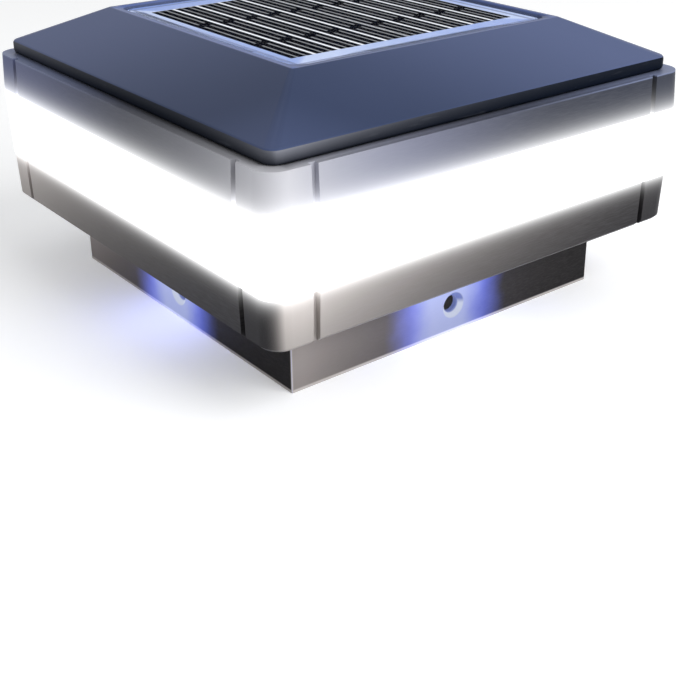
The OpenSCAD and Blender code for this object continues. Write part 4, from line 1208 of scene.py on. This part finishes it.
class CAPLIGHT_OT_stage(PieceMaker, bpy.types.Operator):
    """Set the camera, the floor, the lamps and the sky"""

    bl_idname = "caplight.make_stage"
    bl_label = "Stage"

    def make(self, scene, sizes):
        stage = scene.cap_light_stage
        scene.view_settings.view_transform = "Standard"
        self.add_camera(scene, stage)
        self.add_floor(stage)
        self.add_sky(scene, stage)
        aim = Vector((0.0, 0.0, TOP_Z / 2))
        self.add_lamp("key_lamp", (0.25, -0.75, 0.60), aim, 0.70, stage.key_power)
        self.add_lamp("fill_lamp", (-0.80, -0.15, 0.45), aim, 0.60, stage.fill_power)

    def add_camera(self, scene, stage):
        camera = add_object("camera", bpy.data.cameras.new("camera"))
        camera.data.lens = stage.lens
        camera.data.sensor_width = 36.0
        camera.data.clip_start = 0.01
        camera.data.shift_x, camera.data.shift_y = stage.slide
        camera.matrix_world = (
            Matrix.Rotation(stage.azimuth, 4, "Z")
            @ Matrix.Rotation(QUARTER - stage.elevation, 4, "X")
            @ Matrix.Translation((stage.aside, stage.above, stage.distance)))
        scene.camera = camera

    def add_floor(self, stage):
        mesh = bpy.data.meshes.new("floor")
        half = 6.0
        corners = ((-half, -half), (half, -half), (half, half), (-half, half))
        mesh.from_pydata([(x, y, 0.0) for x, y in corners], [], [(0, 1, 2, 3)])
        floor = add_object("floor", mesh)
        look = Finish(
            "floor_paint", roughness=0.9, specular_ior_level=0.1, emission_strength=1.0)
        look.set("Base Color", stage.floor_colour)
        seen = look.node("ShaderNodeLightPath", out="Is Camera Ray")
        outside = look.away().over(COLLAR_HALF)
        lift = [stage.floor_lift] * 3
        look.set("Emission Color", look.mix(seen * outside, BLACK, lift))
        clear = look.node("ShaderNodeBsdfTransparent")
        below = look.node("ShaderNodeNewGeometry", out="Backfacing")
        # Open to light under the collar, so that its inside shows in the views from below
        opening = (1 - look.away().over(COLLAR_HALF - 1 * MM)) * (1 - seen)
        mixed = look.node("ShaderNodeMixShader", {}, {
            0: below.larger(opening), 1: Wire(look, look.shader.outputs[0]), 2: clear,
        })
        look.feed(look.surface, mixed)
        mesh.materials.append(look.material)

    def add_sky(self, scene, stage):
        sky = bpy.data.worlds.new("sky")
        sky.use_nodes = True
        look = Graph(sky.node_tree)
        sky.node_tree.nodes.clear()
        seen = look.node("ShaderNodeLightPath", out="Is Camera Ray")
        paths = seen.socket.node.outputs
        for other in ("Is Glossy Ray", "Is Transmission Ray"):
            seen = seen.larger(Wire(look, paths[other]))
        strength = seen * (1.0 - stage.sky_level) + stage.sky_level
        light = look.node(
            "ShaderNodeBackground", {}, {"Color": "#FFFFFF", "Strength": strength})
        look.node("ShaderNodeOutputWorld", {}, {"Surface": light})
        scene.world = sky

    def add_lamp(self, name, place, aim, size, power):
        lamp = add_object(name, bpy.data.lights.new(name, "AREA"))
        lamp.data.shape = "SQUARE"
        lamp.data.size = size
        lamp.data.energy = power
        lamp.location = place
        lamp.rotation_mode = "QUATERNION"
        lamp.rotation_quaternion = (aim - Vector(place)).to_track_quat("-Z", "Y")


MAKERS = (
    CAPLIGHT_OT_stage, CAPLIGHT_OT_finishes, CAPLIGHT_OT_lid, CAPLIGHT_OT_rails,
    CAPLIGHT_OT_trims, CAPLIGHT_OT_collar, CAPLIGHT_OT_glow, CAPLIGHT_OT_panel,
    CAPLIGHT_OT_downlights, CAPLIGHT_OT_screws, CAPLIGHT_OT_door,
)


class CAPLIGHT_PT_pieces(bpy.types.Panel):
    """Lists the makers of the pieces and of the stage"""

    bl_idname = "CAPLIGHT_PT_pieces"
    bl_label = "Cap light"
    bl_space_type = "VIEW_3D"
    bl_region_type = "UI"
    bl_category = "Cap Light"

    def draw(self, context):
        for maker in MAKERS:
            self.layout.operator(maker.bl_idname)
        for group in ("cap_light_sizes", "cap_light_colours", "cap_light_stage"):
            settings = getattr(context.scene, group)
            column = self.layout.column(align=True)
            for name in settings.__annotations__:
                column.prop(settings, name)


GROUPS = {
    "cap_light_sizes": CapLightSizes,
    "cap_light_colours": CapLightColours,
    "cap_light_stage": CapLightStage,
}


def register():
    for kind in (*GROUPS.values(), *MAKERS, CAPLIGHT_PT_pieces):
        bpy.utils.register_class(kind)
    for name, kind in GROUPS.items():
        setattr(bpy.types.Scene, name, bpy.props.PointerProperty(type=kind))


def unregister():
    for name in GROUPS:
        delattr(bpy.types.Scene, name)
    for kind in (CAPLIGHT_PT_pieces, *reversed(MAKERS), *reversed(tuple(GROUPS.values()))):
        bpy.utils.unregister_class(kind)


def main():
    register()
    for maker in MAKERS:
        group, name = maker.bl_idname.split(".")
        getattr(getattr(bpy.ops, group), name)()
    bpy.context.view_layer.update()


if __name__ == "__main__":
    main()
